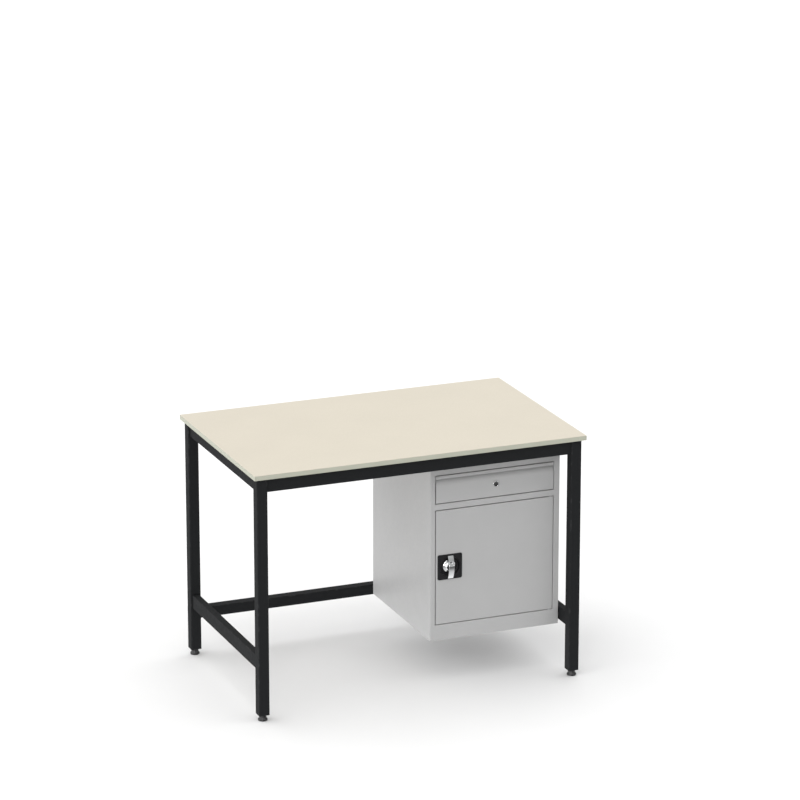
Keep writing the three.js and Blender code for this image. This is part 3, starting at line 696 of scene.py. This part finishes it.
def thread(bm, centre, radius, start, end):
    """A screw thread about a vertical axis."""
    rings = []
    count = int((end - start) / THREAD_STEP)
    for along in spaced(start, end, count + 1):
        ring = []
        for side in range(THREAD_SIDES):
            share = side / THREAD_SIDES
            phase = (along / THREAD_PITCH - share) % 1
            reach = radius - THREAD_DEPTH * (1 - abs(2 * phase - 1))
            turn = 2 * pi * share
            ring.append(Vector((*round_points(centre, reach, [turn])[0], along)))
        rings.append(ring)
    loft(bm, rings)


def flutes(bm, centre, high):
    """Presses finger grooves into the neck of a foot."""
    for vertex in bm.verts:
        off = Vector((vertex.co.x - centre.x, vertex.co.y - centre.y))
        if FLUTE_LOW < vertex.co.z < high + 1e-3 and off.length > NECK_RADIUS - 0.1:
            turn = atan2(off.y, off.x)
            depth = FLUTE_DEPTH * (0.5 + 0.5 * cos(FLUTES * turn))
            off *= (off.length - depth) / off.length
            vertex.co.x = centre.x + off.x
            vertex.co.y = centre.y + off.y


def make_feet():
    for where in CORNERS:
        node = f"foot_{where}"
        low, high = span(node)
        centre = Vector(((low.x + high.x) / 2, (low.y + high.y) / 2, 0))
        radius = (high.x - low.x) / 2
        neck_top = span(f"leg_{where}")[0].z - NECK_GAP
        sole = [(radius - 4, 0), (radius - 2.5, 0), *arc((radius - 2.5, 2.5), 2.5, -80, 0, 6)]
        bell = [(radius, 4.5), *arc((radius - 3.5, 4.8), 3.5, 8, 62, 6)]
        neck = [(NECK_RADIUS, neck_top - 1.2), (NECK_RADIUS - 0.8, neck_top)]
        bm = bmesh.new()
        turned(bm, "Z", centre, sole + bell + FOOT_WAIST + neck, sides=72)
        flutes(bm, centre, neck_top - 1)
        solid(f"foot_bell_{where}", bm, node, "foot_plastic", [node])
        bm = bmesh.new()
        thread(bm, centre, THREAD_RADIUS, neck_top - NECK_GAP, high.z)
        solid(f"foot_stud_{where}", bm, node, "zinc")


# ---- cabinet

RETURN_DEPTH = 12
OPEN_BAYS = (1, 3)
LID_RETURN = 15
PIN_HOLE = 3.3
SHELF_LIP_REAR = 9
SHELF_LIP_FRONT = 11
SPOT_WELD = (20, [(2.6, -0.05), (2.6, 0), (2.2, 0.14), (1.4, 0.14), (0.9, 0.06)])
# Name, CAD node, axis, finish and path, whose corners are the low (0) or high (1) sides of the node's box.
FOLDED = [
    ("ledge_left", "shelf_ledge_left", "Y", "cabinet_paint", [(1, 1), (0, 1), (0, 0)]),
    ("ledge_right", "shelf_ledge_right", "Y", "cabinet_paint", [(1, 0), (1, 1), (0, 1)]),
    ("bracket_left", "slide_bracket_left", "Y", "zinc", [(0, 0), (1, 0), (1, 1), (0, 1)]),
    ("bracket_right", "slide_bracket_right", "Y", "zinc", [(1, 1), (0, 1), (0, 0), (1, 0)]),
    ("keeper", "latch_keeper", "Z", "zinc", [(0, 1), (0, 0), (1, 0)]),
]


def shell_skin(xs, zs, front, rear):
    """The outer faces of sides and front, the lip under the floor, and the returns round both openings."""
    bm = bmesh.new()
    depth = (front, front + RETURN_DEPTH)
    bays = list(zip(zs, zs[1:]))
    for bay in bays:
        plane(bm, "X", xs[0], (front, rear), bay, -1)
        plane(bm, "X", xs[3], (front, rear), bay, 1)
    for i, width in enumerate(zip(xs, xs[1:])):
        for k, bay in enumerate(bays):
            if i != 1 or k not in OPEN_BAYS:
                plane(bm, "Y", front, width, bay, -1)
        plane(bm, "Z", zs[0], width, depth, -1)
    for bay in (bays[k] for k in OPEN_BAYS):
        for x, z, inward in zip(xs[1:3], bay, (1, -1)):
            plane(bm, "X", x, depth, bay, inward)
            plane(bm, "Z", z, xs[1:3], depth, inward)
    return bm


def make_shell():
    """Sides, front frame and floor lip as one seamless folded and welded sheet."""
    left, right = span("cabinet_side_left"), span("cabinet_side_right")
    divider = span("cabinet_divider")
    xs = [left[0].x, left[1].x, right[0].x, right[1].x]
    base, header = span("cabinet_base")[1], span("cabinet_header")[0]
    zs = [left[0].z, base.z, divider[0].z, divider[1].z, header.z, left[1].z]
    obj = raw_object("cabinet_shell", shell_skin(xs, zs, left[0].y, left[1].y))
    fold(obj, OUTER_FOLD)
    drill(obj, "Z", across(middle("hinge_pin_bottom"), "Z"), PIN_HOLE, zs[1] - 3, zs[1] + 1)
    drill(obj, "Z", across(middle("hinge_pin_top"), "Z"), PIN_HOLE, zs[2] - 1, zs[2] + 3)
    finish(obj, "bench", "cabinet_paint", ["cabinet_side_left", "cabinet_side_right", "cabinet_header"])


def spot_welds(name, body, face, points):
    """Small round dimples that spot welding leaves on the back of a sheet."""
    bm = bmesh.new()
    for place in points:
        stud(bm, "Y", place, face, 1, SPOT_WELD)
    solid(name, bm, body, "cabinet_paint")


def cabinet_pan(name, node, left, right, flat, lips, start, end):
    """A sheet across the cabinet, with its lips turned up or down at both sides."""
    path = rounded_path([(left, lips), (left, flat), (right, flat), (right, lips)], OUTER_FOLD)
    bm = bmesh.new()
    prism(bm, "Y", sheet_section(path if lips > flat else path[::-1]), start, end)
    solid(name, bm, "bench", "cabinet_paint", [node], soft=0.15, segments=2)


def make_panels():
    """Floor, divider, top and back of the cabinet."""
    low, high = span("cabinet_side_left")[0], span("cabinet_side_right")[1]
    left, right = low.x + SHEET, high.x - SHEET
    back_low, back_high = span("cabinet_back")
    for name, node in (("cabinet_floor", "cabinet_base"), ("cabinet_mid_floor", "cabinet_divider")):
        flat = span(node)[0].z
        cabinet_pan(name, node, left, right, flat, flat + RETURN_DEPTH, low.y + RETURN_DEPTH, back_low.y)
    top_low, top_high = span("cabinet_top")
    cabinet_pan(
        "cabinet_lid", "cabinet_top", left, right, top_high.z, top_high.z - LID_RETURN, top_low.y, top_high.y)
    slab("cabinet_rear", back_low, back_high, "bench", "cabinet_paint", ["cabinet_back"], soft=0.5)
    rows = [(x, z) for x in (left + 7, right - 7) for z in spaced(back_low.z + 16, back_high.z - 56, 9)]
    rows += [(x, back_low.z + 7) for x in spaced(left + 60, right - 60, 6)]
    spot_welds("cabinet_rear_spot_welds", "bench", back_high.y, rows)


def make_folded_fittings():
    """Shelf, shelf ledges, slide brackets and latch keeper."""
    low, high = span("shelf")
    points = [
        (high.y - SHELF_LIP_REAR, low.z), (high.y, low.z), (high.y, high.z),
        (low.y, high.z), (low.y, low.z), (low.y + SHELF_LIP_FRONT, low.z),
    ]
    folded_piece("shelf_panel", "shelf", "X", points)
    for name, node, axis, slot, corners in FOLDED:
        sides = list(zip(*(across(corner, axis) for corner in span(node))))
        points = [(sides[0][a], sides[1][b]) for a, b in corners]
        folded_piece(name, node, axis, points, slot=slot)


# ---- screws, pins and slides

HINGE_PIN = (32, [
    (2.6, 0), (3.9, 0.5), (4.5, 1.4), (4.5, 4), (3, 4), (3, 5.25),
    (4.4, 5.25), (4.4, 7.25), (3, 7.25), (3, 12.9), (2.6, 13.6), (1.8, 14),
])


def pan_head(radius, height):
    """A domed screw head."""
    shares = [(1, 0), (1, 0.35), (0.9, 0.7), (0.62, 0.95), (0.3, 1)]
    return 24, [(radius * wide, height * tall) for wide, tall in shares]


def hex_head(across_flats, height):
    """A nut or bolt head with chamfered corners."""
    corner = across_flats / sqrt(3)
    return 6, [(corner, 0), (corner, 0.8 * height), (0.9 * corner, height)]


def washer(radius, thickness):
    return 32, [(radius, 0), (radius, thickness)]


SLIDE_SCREW = pan_head(3.6, 2)
TOP_SCREW = pan_head(4.5, 2.6)
BOLT_HEAD = hex_head(10, 4)
BOLT_WASHER = 1.2


def make_hinge_pins():
    for node, up in (("hinge_pin_bottom", 1), ("hinge_pin_top", -1)):
        low, high = span(node)
        bm = bmesh.new()
        stud(bm, "Z", across(middle(node), "Z"), low.z if up > 0 else high.z, up, HINGE_PIN)
        solid(f"{node}_turned", bm, "bench", "zinc", [node])


def make_slides():
    for side in ("left", "right"):
        for member in ("outer", "middle", "inner"):
            carry(f"slide_{member}_{side}", "zinc", soft=0.35)
    bm = bmesh.new()
    for node, outward in (("slide_outer_left", 1), ("slide_outer_right", -1)):
        low, high = span(node)
        face = low.x + SHEET if outward > 0 else high.x - SHEET
        for y in spaced(low.y + 45, high.y - 45, 3):
            stud(bm, "X", (y, middle(node).z), face, outward, SLIDE_SCREW)
    solid("slide_screws", bm, "bench", "zinc")


def make_cabinet_bolts():
    """The bolts that hang the cabinet from the worktop, and the screws through the top rails."""
    low, high = span("cabinet_top")
    bm = bmesh.new()
    for x in (low.x + 40, high.x - 40):
        for y in (low.y + 45, high.y - 45):
            stud(bm, "Z", (x, y), low.z, -1, washer(8, BOLT_WASHER))
            stud(bm, "Z", (x, y), low.z - BOLT_WASHER, -1, BOLT_HEAD)
    solid("cabinet_bolts", bm, "bench", "zinc", soft=0.2, segments=2)
    bm = bmesh.new()
    for node in ("top_rail_front", "top_rail_rear"):
        low, high = span(node)
        for x in (low.x + 120, (low.x + high.x) / 2 - 60, high.x - 30):
            stud(bm, "Z", (x, middle(node).y), low.z, -1, TOP_SCREW)
    for node in ("top_rail_left", "top_rail_right"):
        low, high = span(node)
        for y in (low.y + 110, high.y - 110):
            stud(bm, "Z", (middle(node).x, y), low.z, -1, TOP_SCREW)
    solid("top_screws", bm, "bench", "zinc")

# ---- drawer

PULL_LIP = 12
PULL_DEPTH = 13.75
PULL_CURVE = 25
PULL_HANDLES = [(0, 0.4), (0.38, 0.76)]
PULL_CURVE_END = 0.96
PULL_STEPS = 16
LIP_HEM = 1.5
LIP_CORNER_REAR = 0.8
LIP_CORNER_FRONT = 1.3
TRAY_RETURN = 8
TRAY_CORNER = 1.2
LOCK_HOLE = 10.25
LOCK_BORE = 8.25
LOCK_RIM = 11
LOCK_THREAD = 9.75
LOCK_REAR = 19.6
PLUG_RADIUS = LOCK_BORE - 0.5
# The key plug's face: how far in from its edge, and how far forward of the drawer.
PLUG_FACE = [(0, 1), (0.2, 1.5), (0.7, 1.8), (1.2, 1.6), (1.7, 1.9), (2.4, 2.3), (3.6, 2.5)]
RING_NUT = hex_head(24.5, 3.5)
CAM_NUT = hex_head(11, 2.2)
KEYWAY_HALF = 0.75
KEYWAY_SHARE = 0.62
KEYWAY_DEPTH = 2.2


def pull_curve(front, foot):
    """The roll of the pull: up and back from the face to its full depth under the lip, as a cubic curve."""
    handles = [(0, 0), *PULL_HANDLES, (1, PULL_CURVE_END)]
    points = []
    for t in spaced(0, 1, PULL_STEPS + 1):
        weights = ((1 - t) ** 3, 3 * t * (1 - t) ** 2, 3 * t * t * (1 - t), t ** 3)
        depth, rise = (sum(weight * handle[i] for weight, handle in zip(weights, handles)) for i in (0, 1))
        points.append((front + PULL_DEPTH * depth, foot + PULL_CURVE * rise))
    return points


def make_drawer_front():
    """One sheet: bottom return, flat face, rolled pull, and a lip with a rolled lower edge."""
    low, high = span("drawer_front")
    front, back = low.y, low.y + PULL_DEPTH
    lip_low = high.z - PULL_LIP
    foot = lip_low - PULL_CURVE
    hem_top = lip_low + LIP_HEM
    curve = pull_curve(front, foot)
    lower = rounded_path([(high.y, low.z), (front, low.z), curve[0]], OUTER_FOLD)
    upper = rounded_path([
        curve[-1], (back, high.z - SHEET, LIP_CORNER_REAR),
        (front + SHEET, high.z - SHEET, LIP_CORNER_FRONT), (front + SHEET, hem_top),
    ], 1)[1:]
    bm = bmesh.new()
    prism(bm, "X", sheet_section((lower + curve[1:] + upper)[::-1]), low.x, high.x)
    hole = ("Y", across(middle("drawer_lock_barrel"), "Y"), LOCK_HOLE, front - 2, front + 3)
    solid("drawer_face", bm, "drawer", "cabinet_paint", ["drawer_front"], 0.25, segments=2, holes=[hole])
    bm = bmesh.new()
    roll = arc((front + LIP_HEM, hem_top), LIP_HEM, 180, 360, 10)
    hem = [(front + SHEET / 2, hem_top + 5), *roll, (front + 2 * LIP_HEM, hem_top + 5)]
    prism(bm, "X", hem, low.x + 0.1, high.x - 0.1)
    solid("drawer_lip_hem", bm, "drawer", "cabinet_paint")
    bm = bmesh.new()
    for x in (low.x + 0.3, high.x - 0.3 - SHEET):
        block(bm, (x, front + SHEET, low.z + SHEET), (x + SHEET, high.y, foot))
    solid("drawer_face_ends", bm, "drawer", "cabinet_paint", soft=0.3)


def make_tray():
    low, high = span("drawer_tray")
    hem = 2 * SHEET + 0.1
    rim = high.z
    sides = []
    for side, edge in ((low.x, low.x + hem), (high.x, high.x - hem)):
        corners = [(edge, rim, TRAY_CORNER), (side, rim, TRAY_CORNER)]
        sides.append([(edge, rim - TRAY_RETURN), *corners, (side, low.z)])
    folded_piece("tray", "drawer_tray", "Y", sides[0] + sides[1][::-1], body="drawer")
    inset = Vector((hem - SHEET + 0.1, 0, 0))
    lock = across(middle("drawer_lock_barrel"), "Y")
    for name in ("tray_front", "tray_rear"):
        node = f"drawer_{name}"
        low, high = span(node)
        holes = [("Y", lock, LOCK_HOLE, low.y - 2, high.y + 2)] if name == "tray_front" else []
        slab(name, low + inset, high - inset, "drawer", "cabinet_paint", [node],
             soft=0.3, segments=2, holes=holes, worn=False)


def cut_keyway(obj, centre, radius, face):
    """An upright slot for the key, in a plug whose face is at a distance along Y from the centre."""
    cutter = bmesh.new()
    reach = Vector((KEYWAY_HALF, 0, KEYWAY_SHARE * radius))
    low = centre - reach + Vector((0, face - 2, 0))
    high = centre + reach + Vector((0, face + KEYWAY_DEPTH, 0))
    block(cutter, low, high)
    carve(obj, cutter)


def make_drawer_lock():
    centre = middle("drawer_lock_barrel")
    centre.y = span("drawer_front")[0].y
    place = across(centre, "Y")
    barrel = [(LOCK_BORE, LOCK_REAR), (LOCK_BORE, -1.6), (LOCK_BORE + 0.1, -2.6)]
    barrel += [*arc((LOCK_BORE + 0.9, -2.7), 0.8, 180, 270, 4), *arc((LOCK_RIM - 1.1, -2.4), 1.1, -90, 0, 5)]
    barrel += [(LOCK_RIM, -0.05), (LOCK_THREAD, -0.05), (LOCK_THREAD, LOCK_REAR)]
    bm = bmesh.new()
    turned(bm, "Y", centre, barrel, sides=64, hollow=True)
    solid("lock_barrel", bm, "drawer", "chrome", ["drawer_lock_barrel"])
    bm = bmesh.new()
    stud(bm, "Y", place, centre.y + SHEET, 1, RING_NUT)
    hole = ("Y", place, LOCK_THREAD + 0.1, centre.y - 2, centre.y + 8)
    solid("lock_ring_nut", bm, "drawer", "zinc", soft=0.25, segments=2, holes=[hole])
    plug = [(4, LOCK_REAR + 4.8), (4, LOCK_REAR + 0.1), (PLUG_RADIUS, LOCK_REAR + 0.1)]
    plug += [(PLUG_RADIUS - inset, -forward) for inset, forward in PLUG_FACE]
    bm = bmesh.new()
    turned(bm, "Y", centre, plug)
    obj = closed_object("lock_plug", bm)
    cut_keyway(obj, centre, PLUG_RADIUS, -PLUG_FACE[-1][1])
    # The plug gets the dark metal, a painted reflection in place of chrome that mirrors dark surroundings.
    finish(obj, "drawer_key", "dark_nickel", ["drawer_lock_plug"])
    low, high = span("drawer_lock_cam")
    half = (high.z - low.z) / 2
    bm = bmesh.new()
    prism(bm, "Y", stadium((low.x + half, centre.z), (high.x - half, centre.z), half), low.y, high.y)
    stud(bm, "Y", place, high.y, 1, CAM_NUT)
    solid("lock_cam", bm, "drawer_key", "zinc", ["drawer_lock_cam"], soft=0.25, segments=2)


# ---- door

DOOR_FOLD = 1.6
DOOR_PIN_HOLE = 3.5
SHAFT_HOLE = 7.5
HOUSING_HOLE = 37.4


def make_door():
    low, high = span("door_pan")
    bm = bmesh.new()
    width, depth, height = zip(low, high)
    plane(bm, "Y", low.y, width, height, -1)
    for x, z, outward in zip(width, height, (-1, 1)):
        plane(bm, "X", x, depth, height, outward)
        plane(bm, "Z", z, width, depth, outward)
    obj = raw_object("door_face", bm)
    fold(obj, DOOR_FOLD)
    handle = across(middle("handle_plate"), "Y")
    drill(obj, "Y", handle, HOUSING_HOLE, low.y - 2, low.y + 4)
    pin = across(middle("hinge_pin_top"), "Z")
    drill(obj, "Z", pin, DOOR_PIN_HOLE, low.z - 2, low.z + 3)
    drill(obj, "Z", pin, DOOR_PIN_HOLE, high.z - 3, high.z + 2)
    finish(obj, "door", "cabinet_paint", ["door_pan"])
    low, high = span("door_inner_sheet")
    hole = ("Y", handle, SHAFT_HOLE, low.y - 2, high.y + 2)
    slab("door_back", low, high, "door", "cabinet_paint", ["door_inner_sheet"], soft=0.4, holes=[hole],
         worn=False)
    rows = [(x, z) for x in (low.x + 9, high.x - 9) for z in spaced(low.z + 18, high.z - 18, 6)]
    rows += [(x, z) for z in (low.z + 9, high.z - 9) for x in spaced(low.x + 70, high.x - 70, 4)]
    spot_welds("door_back_spot_welds", "door", high.y, rows)


# ---- handle
# The profiles below are about the axis of the shaft, with 0 at the door's face and minus towards the user.

PLATE_CORNER = 6
PLATE_BACK = -0.05
PLATE_FRONT = -3
PLATE_ROUND = 1.4
PLATE_FACET = 2.5
DISH_LIP = 1.8
DISH_RADIUS = 35.5
DISH_TAPER = 0.8
DISH_FLOOR = 7
DISH_ROUND = 3.2
DISH_RING = [(30, 0), (29.6, -0.5), (28, -0.5), (27.6, 0), (SHAFT_HOLE, 0)]
HOUSING_WALL = 1.5
HOUSING_RADIUS = 37
BAR_END = -8.5
BAR_WIDTH = 20
BAR_THICKNESS = 4
BAR_ROUND = 1.3
BAR_STEPS = 29
BAR_SHARP = 0.3
# How the rounding of the bar closes in towards its ends: shares of the corner, along and inwards.
BAR_CLOSING = [(0, 1), (0.12, 0.5), (0.5, 0.14), (1, 0)]
CAP_THICKNESS = 2
CAP_SHOULDER = 12
CAP_TIP = 3.5
CAP_GAP = 0.3
CAP_TOP = 60
KEY_RADIUS = 6
KEY_GAP = 0.2
BOSS_RADIUS = 8.5
BOSS_BACK = -6
BOSS_DEPTH = 3
HUB_PROFILE = [
    (20.5, 6.5), (22.6, 6.2), (23, 5.6), (23, 4.9), (22.6, 4.2), (21.6, 3.6),
    (18.5, 2.4), (15.5, 1), (13, -0.6), (11.2, -2.4), (10, -4.6), (9.2, -7.2),
]
# The key plug's face: how far in from its edge, and how far behind its front.
KEY_FACE = [(0, 0.5), (0.2, 0.15), (0.7, 0), (1.3, 0.1), (1.7, 0.6), (2.2, 1), (3.5, 1)]
LATCH_HOLE = 7.1
LATCH_WASHER = 1.2
LATCH_NUT = hex_head(17, 4)


def subdivide(outline, longest):
    points = []
    for a, b in zip(outline, outline[1:] + outline[:1]):
        a, b = Vector(a), Vector(b)
        count = max(1, ceil((b - a).length / longest))
        points += [tuple(a.lerp(b, i / count)) for i in range(count)]
    return points


def rounding(steps):
    """How far a quarter round of radius 1 has left the side that it starts along, and has still to go."""
    return [(1 - cos(turn), 1 - sin(turn)) for turn in spaced(0, pi / 2, steps + 1)]


def make_handle_plate(centre):
    """The square plate and its dish, from the plate's back round to the back of the dish."""
    low, high = span("handle_plate")
    side = high.x - low.x
    outline = subdivide(rounded_rectangle(side, side, PLATE_CORNER), PLATE_FACET)
    turns = [atan2(v, u) for u, v in outline]

    def square(inset, y):
        share = 1 - 2 * inset / side
        return lift("Y", [(u * share, v * share) for u, v in outline], y, centre)

    def ring(radius, y):
        return lift("Y", round_points((0, 0), radius, turns), y, centre)

    wall = DISH_RADIUS - DISH_TAPER
    rings = [square(0, PLATE_BACK)]
    rings += [square(PLATE_ROUND * a, PLATE_FRONT + PLATE_ROUND * b) for a, b in rounding(5)]
    rings += [ring(DISH_RADIUS + DISH_LIP * b, PLATE_FRONT + DISH_LIP * a) for a, b in rounding(6)]
    rings.append(ring(DISH_RADIUS - DISH_TAPER / 2, HOUSING_WALL))
    rings += [ring(wall - DISH_ROUND * a, DISH_FLOOR - DISH_ROUND * b) for a, b in rounding(6)]
    rings += [ring(radius, DISH_FLOOR + rise) for radius, rise in DISH_RING]
    back = DISH_FLOOR + HOUSING_WALL
    rings += [ring(SHAFT_HOLE, back), ring(HOUSING_RADIUS, back), ring(HOUSING_RADIUS, PLATE_BACK)]
    bm = bmesh.new()
    loft(bm, rings, cyclic=True)
    solid("handle_housing", bm, "door", "black_plastic", ["handle_plate"])


def bar_face(height, half):
    """How far forward the bowed bar's face lies at a height above its middle."""
    front = span("handle_bar")[0].y - span("door_pan")[0].y
    return BAR_END + (front - BAR_END) * (1 - (height / half) ** 2)


def bowed_bar(centre, width, half, shallow, deep, corner, longer=0):
    """A layer of the bowed bar between two depths behind its face, with rounded long edges and ends."""
    bm = bmesh.new()
    thickness = deep - shallow
    tip = [(half + longer - corner * along, corner * inwards) for along, inwards in BAR_CLOSING]
    body = [(height, 0) for height in spaced(half - 2 * corner, 2 * corner - half, BAR_STEPS)]
    foot = [(-height, inset) for height, inset in reversed(tip)]
    rings = []
    for height, inset in tip + body + foot:
        radius = max(corner - inset, 0.2) * 0.98
        outline = rounded_rectangle(width - 2 * inset, thickness - 2 * inset * 0.9, radius, 5)
        depth = bar_face(min(height, half), half) + (shallow + deep) / 2
        rings.append([Vector((u, depth + v, height)) + centre for u, v in outline])
    loft(bm, rings)
    return bm


def cap_wedge(centre, gap):
    """The region of the lock cap: everything above a point on the bar."""
    tip = CAP_TIP - gap
    side = tip + 2 * (CAP_SHOULDER - CAP_TIP)
    outline = [(-BAR_WIDTH, CAP_TOP), (-BAR_WIDTH, side), (0, tip), (BAR_WIDTH, side), (BAR_WIDTH, CAP_TOP)]
    bm = bmesh.new()
    prism(bm, "Y", [(u + centre.x, v + centre.z) for u, v in outline], centre.y - 30, centre.y)
    return bm


def make_handle():
    plate = middle("handle_plate")
    centre = Vector((plate.x, span("door_pan")[0].y, plate.z))
    make_handle_plate(centre)
    low, high = span("handle_bar")
    half = (high.z - low.z) / 2
    key_z = middle("handle_key_plug").z
    key_hole = ("Y", (centre.x, key_z), KEY_RADIUS + KEY_GAP, centre.y - 30, centre.y - 5)
    bar = closed_object("handle_lever", bowed_bar(centre, BAR_WIDTH, half, 0, BAR_THICKNESS, BAR_ROUND))
    seat = bowed_bar(centre, BAR_WIDTH + 2, half, -1, CAP_THICKNESS + 0.1, BAR_SHARP, longer=1)
    seat = closed_object("seat", seat)
    carve(seat, cap_wedge(centre, CAP_GAP), "INTERSECT")
    combine(bar, seat, "DIFFERENCE")
    drill(bar, *key_hole)
    finish(bar, "handle", "chrome", ["handle_bar"])
    cap = closed_object("lock_cap", bowed_bar(centre, BAR_WIDTH, half, 0, BAR_THICKNESS, BAR_ROUND))
    carve(cap, cap_wedge(centre, 0), "INTERSECT")
    carve(cap, bowed_bar(centre, BAR_WIDTH + 4, half, CAP_THICKNESS, BAR_THICKNESS + 3, BAR_SHARP, longer=2))
    drill(cap, *key_hole)
    soften(cap, 0.25, 2)
    finish(cap, "handle", "satin_chrome", ["handle_lock_cap"])
    make_hub(centre, half)
    make_key(Vector((centre.x, centre.y, key_z)), bar_face(key_z - centre.z, half))
    make_latch(centre)


def make_hub(centre, half):
    bm = bmesh.new()
    turned(bm, "Y", centre, HUB_PROFILE + [(9, bar_face(0, half) + BAR_THICKNESS - 0.8)], sides=72)
    solid("handle_hub", bm, "handle", "chrome")
    shaft_end = span("latch_blade")[1].y - centre.y
    bm = bmesh.new()
    turned(bm, "Y", centre, [(7, 6.4), (7, shaft_end + 5.5), (6.4, shaft_end + 6.2)], sides=40)
    solid("handle_shaft", bm, "handle", "zinc")


def make_key(centre, bar_front):
    """The boss behind the bar round the key plug, and the plug."""
    low, high = span("handle_key_plug")
    inner, front = KEY_RADIUS + KEY_GAP, bar_front + BOSS_DEPTH
    profile = [
        (inner, front), (BOSS_RADIUS, front), (BOSS_RADIUS, BOSS_BACK - 1),
        (BOSS_RADIUS - 0.8, BOSS_BACK), (inner, BOSS_BACK),
    ]
    bm = bmesh.new()
    turned(bm, "Y", centre, profile, sides=40, hollow=True)
    solid("handle_key_boss", bm, "handle", "chrome")
    face = low.y - centre.y
    profile = [(KEY_RADIUS, high.y - centre.y)]
    profile += [(KEY_RADIUS - inset, face + behind) for inset, behind in KEY_FACE]
    bm = bmesh.new()
    turned(bm, "Y", centre, profile, sides=40)
    obj = closed_object("key_plug", bm)
    cut_keyway(obj, centre, KEY_RADIUS, face)
    finish(obj, "handle_key", "chrome", ["handle_key_plug"])


def make_latch(centre):
    low, high = span("latch_blade")
    place = across(centre, "Y")
    half = (high.x - low.x) / 2
    bm = bmesh.new()
    prism(bm, "Y", stadium((centre.x, low.z + half), (centre.x, high.z - half), half), low.y, high.y)
    hole = ("Y", place, LATCH_HOLE, low.y - 1, high.y + 1)
    solid("latch", bm, "handle", "zinc", ["latch_blade"], soft=0.3, segments=2, holes=[hole])
    bm = bmesh.new()
    stud(bm, "Y", place, high.y, 1, washer(9.6, LATCH_WASHER))
    stud(bm, "Y", place, high.y + LATCH_WASHER, 1, LATCH_NUT)
    solid("latch_nut", bm, "handle", "zinc", soft=0.2, segments=2)


# ---- camera, light and floor
# Lengths here are in metres, apart from the sensor, lens and floor.

CAMERA_PLACE = (-4.8474, -12.0795, 4.9026)
CAMERA_DOWN = 16.844
CAMERA_TURN = -22.144
SENSOR = 36
LENS = 179.11
FAR_CLIP = 200
KEY_PLACE = (-3.6, -6.4, 4.4)
KEY_TARGET = (0, 0, 0.5)
KEY_SIZE = 1
KEY_POWER = 40
# Brightness of the studio by height, from straight down (0) through level (0.5) to straight up (1).
STUDIO_BACK = [
    (0, 0.9), (0.3, 0.5), (0.44, 0.45), (0.5, 0.08), (0.66, 0.1), (0.76, 1.2), (0.95, 1.3), (1, 1.1),
]
STUDIO_FRONT = [
    (0, 0.6), (0.2, 0.45), (0.3, 0.2), (0.36, 0.08), (0.41, 0.15), (0.45, 1.7), (0.49, 2.2),
    (0.52, 0.5), (0.6, 0.3), (0.68, 0.4), (0.76, 1), (0.9, 1.1), (1, 1.1),
]
# How much more comes from the left.
STUDIO_LEFT = [
    (0, 0.1), (0.3, 0.2), (0.36, 0.1), (0.43, 1.3), (0.49, 2.1),
    (0.52, 0.7), (0.65, 0.6), (0.75, 0.7), (0.85, 0.2), (0.95, 0),
]
STUDIO_STRENGTH = 1.5
FLOOR_REACH = 60000
FLOOR_DEPTH = 20
FLOOR_GREYS = (0.68, 0.7)


def make_camera():
    data = bpy.data.cameras.new("camera")
    data.sensor_width = SENSOR
    data.lens = LENS
    data.clip_end = FAR_CLIP
    camera = new_object("camera", data)
    camera.location = CAMERA_PLACE
    camera.rotation_euler = (radians(90 - CAMERA_DOWN), 0, radians(CAMERA_TURN))
    bpy.context.scene.camera = camera


def make_key_light():
    data = bpy.data.lights.new("key", "AREA")
    data.shape = "DISK"
    data.size = KEY_SIZE
    data.energy = KEY_POWER
    light = new_object("key", data)
    light.location = KEY_PLACE
    light.rotation_euler = (Vector(KEY_TARGET) - Vector(KEY_PLACE)).to_track_quat("-Z", "Y").to_euler()


def make_light():
    """A bright studio: soft all round, strongest overhead and from low in front and on the left."""
    scene = bpy.context.scene
    scene.view_settings.view_transform = "Standard"
    world = bpy.data.worlds.new("studio")
    world.use_nodes = True
    studio = Nodes(world.node_tree, "Generated")
    parts = studio.add("ShaderNodeSeparateXYZ", {"Vector": studio.place})
    height = studio.remap(parts.outputs["Z"], -1, 1, 0, 1)
    side = studio.remap(parts.outputs["X"], 0, -0.8, 0, 1)
    front = studio.remap(parts.outputs["Y"], 0, -0.7, 0, 1)
    room = studio.blend(front, studio.ramp(height, STUDIO_BACK), studio.ramp(height, STUDIO_FRONT))
    room = studio.blend(side, room, studio.ramp(height, STUDIO_LEFT), "ADD")
    background = world.node_tree.nodes["Background"]
    studio.link(room, background.inputs["Color"])
    background.inputs["Strength"].default_value = STUDIO_STRENGTH
    scene.world = world
    make_key_light()


def make_floor():
    """A pale floor, which catches shadows but throws no light back on the desk."""
    bm = bmesh.new()
    block(bm, (-FLOOR_REACH, -FLOOR_REACH, -FLOOR_DEPTH), (FLOOR_REACH, FLOOR_REACH, 0))
    floor = closed_object("studio_floor", bm)
    made = Finish("studio_floor")
    dark, pale = ((grey, grey, grey) for grey in FLOOR_GREYS)
    made.colour(made.blend(made.noise(3, 2), dark, pale))
    made.set(Roughness=0.9, Specular_IOR_Level=0.1)
    floor.data.materials.append(made.material)
    floor.visible_glossy = False
    floor.visible_diffuse = False
    floor.visible_shadow = False


make_camera()
make_light()
make_floor()
make_worktop()
make_frame()
make_feet()
make_shell()
make_panels()
make_folded_fittings()
make_hinge_pins()
make_slides()
make_cabinet_bolts()
make_drawer_front()
make_tray()
make_drawer_lock()
make_door()
make_handle()
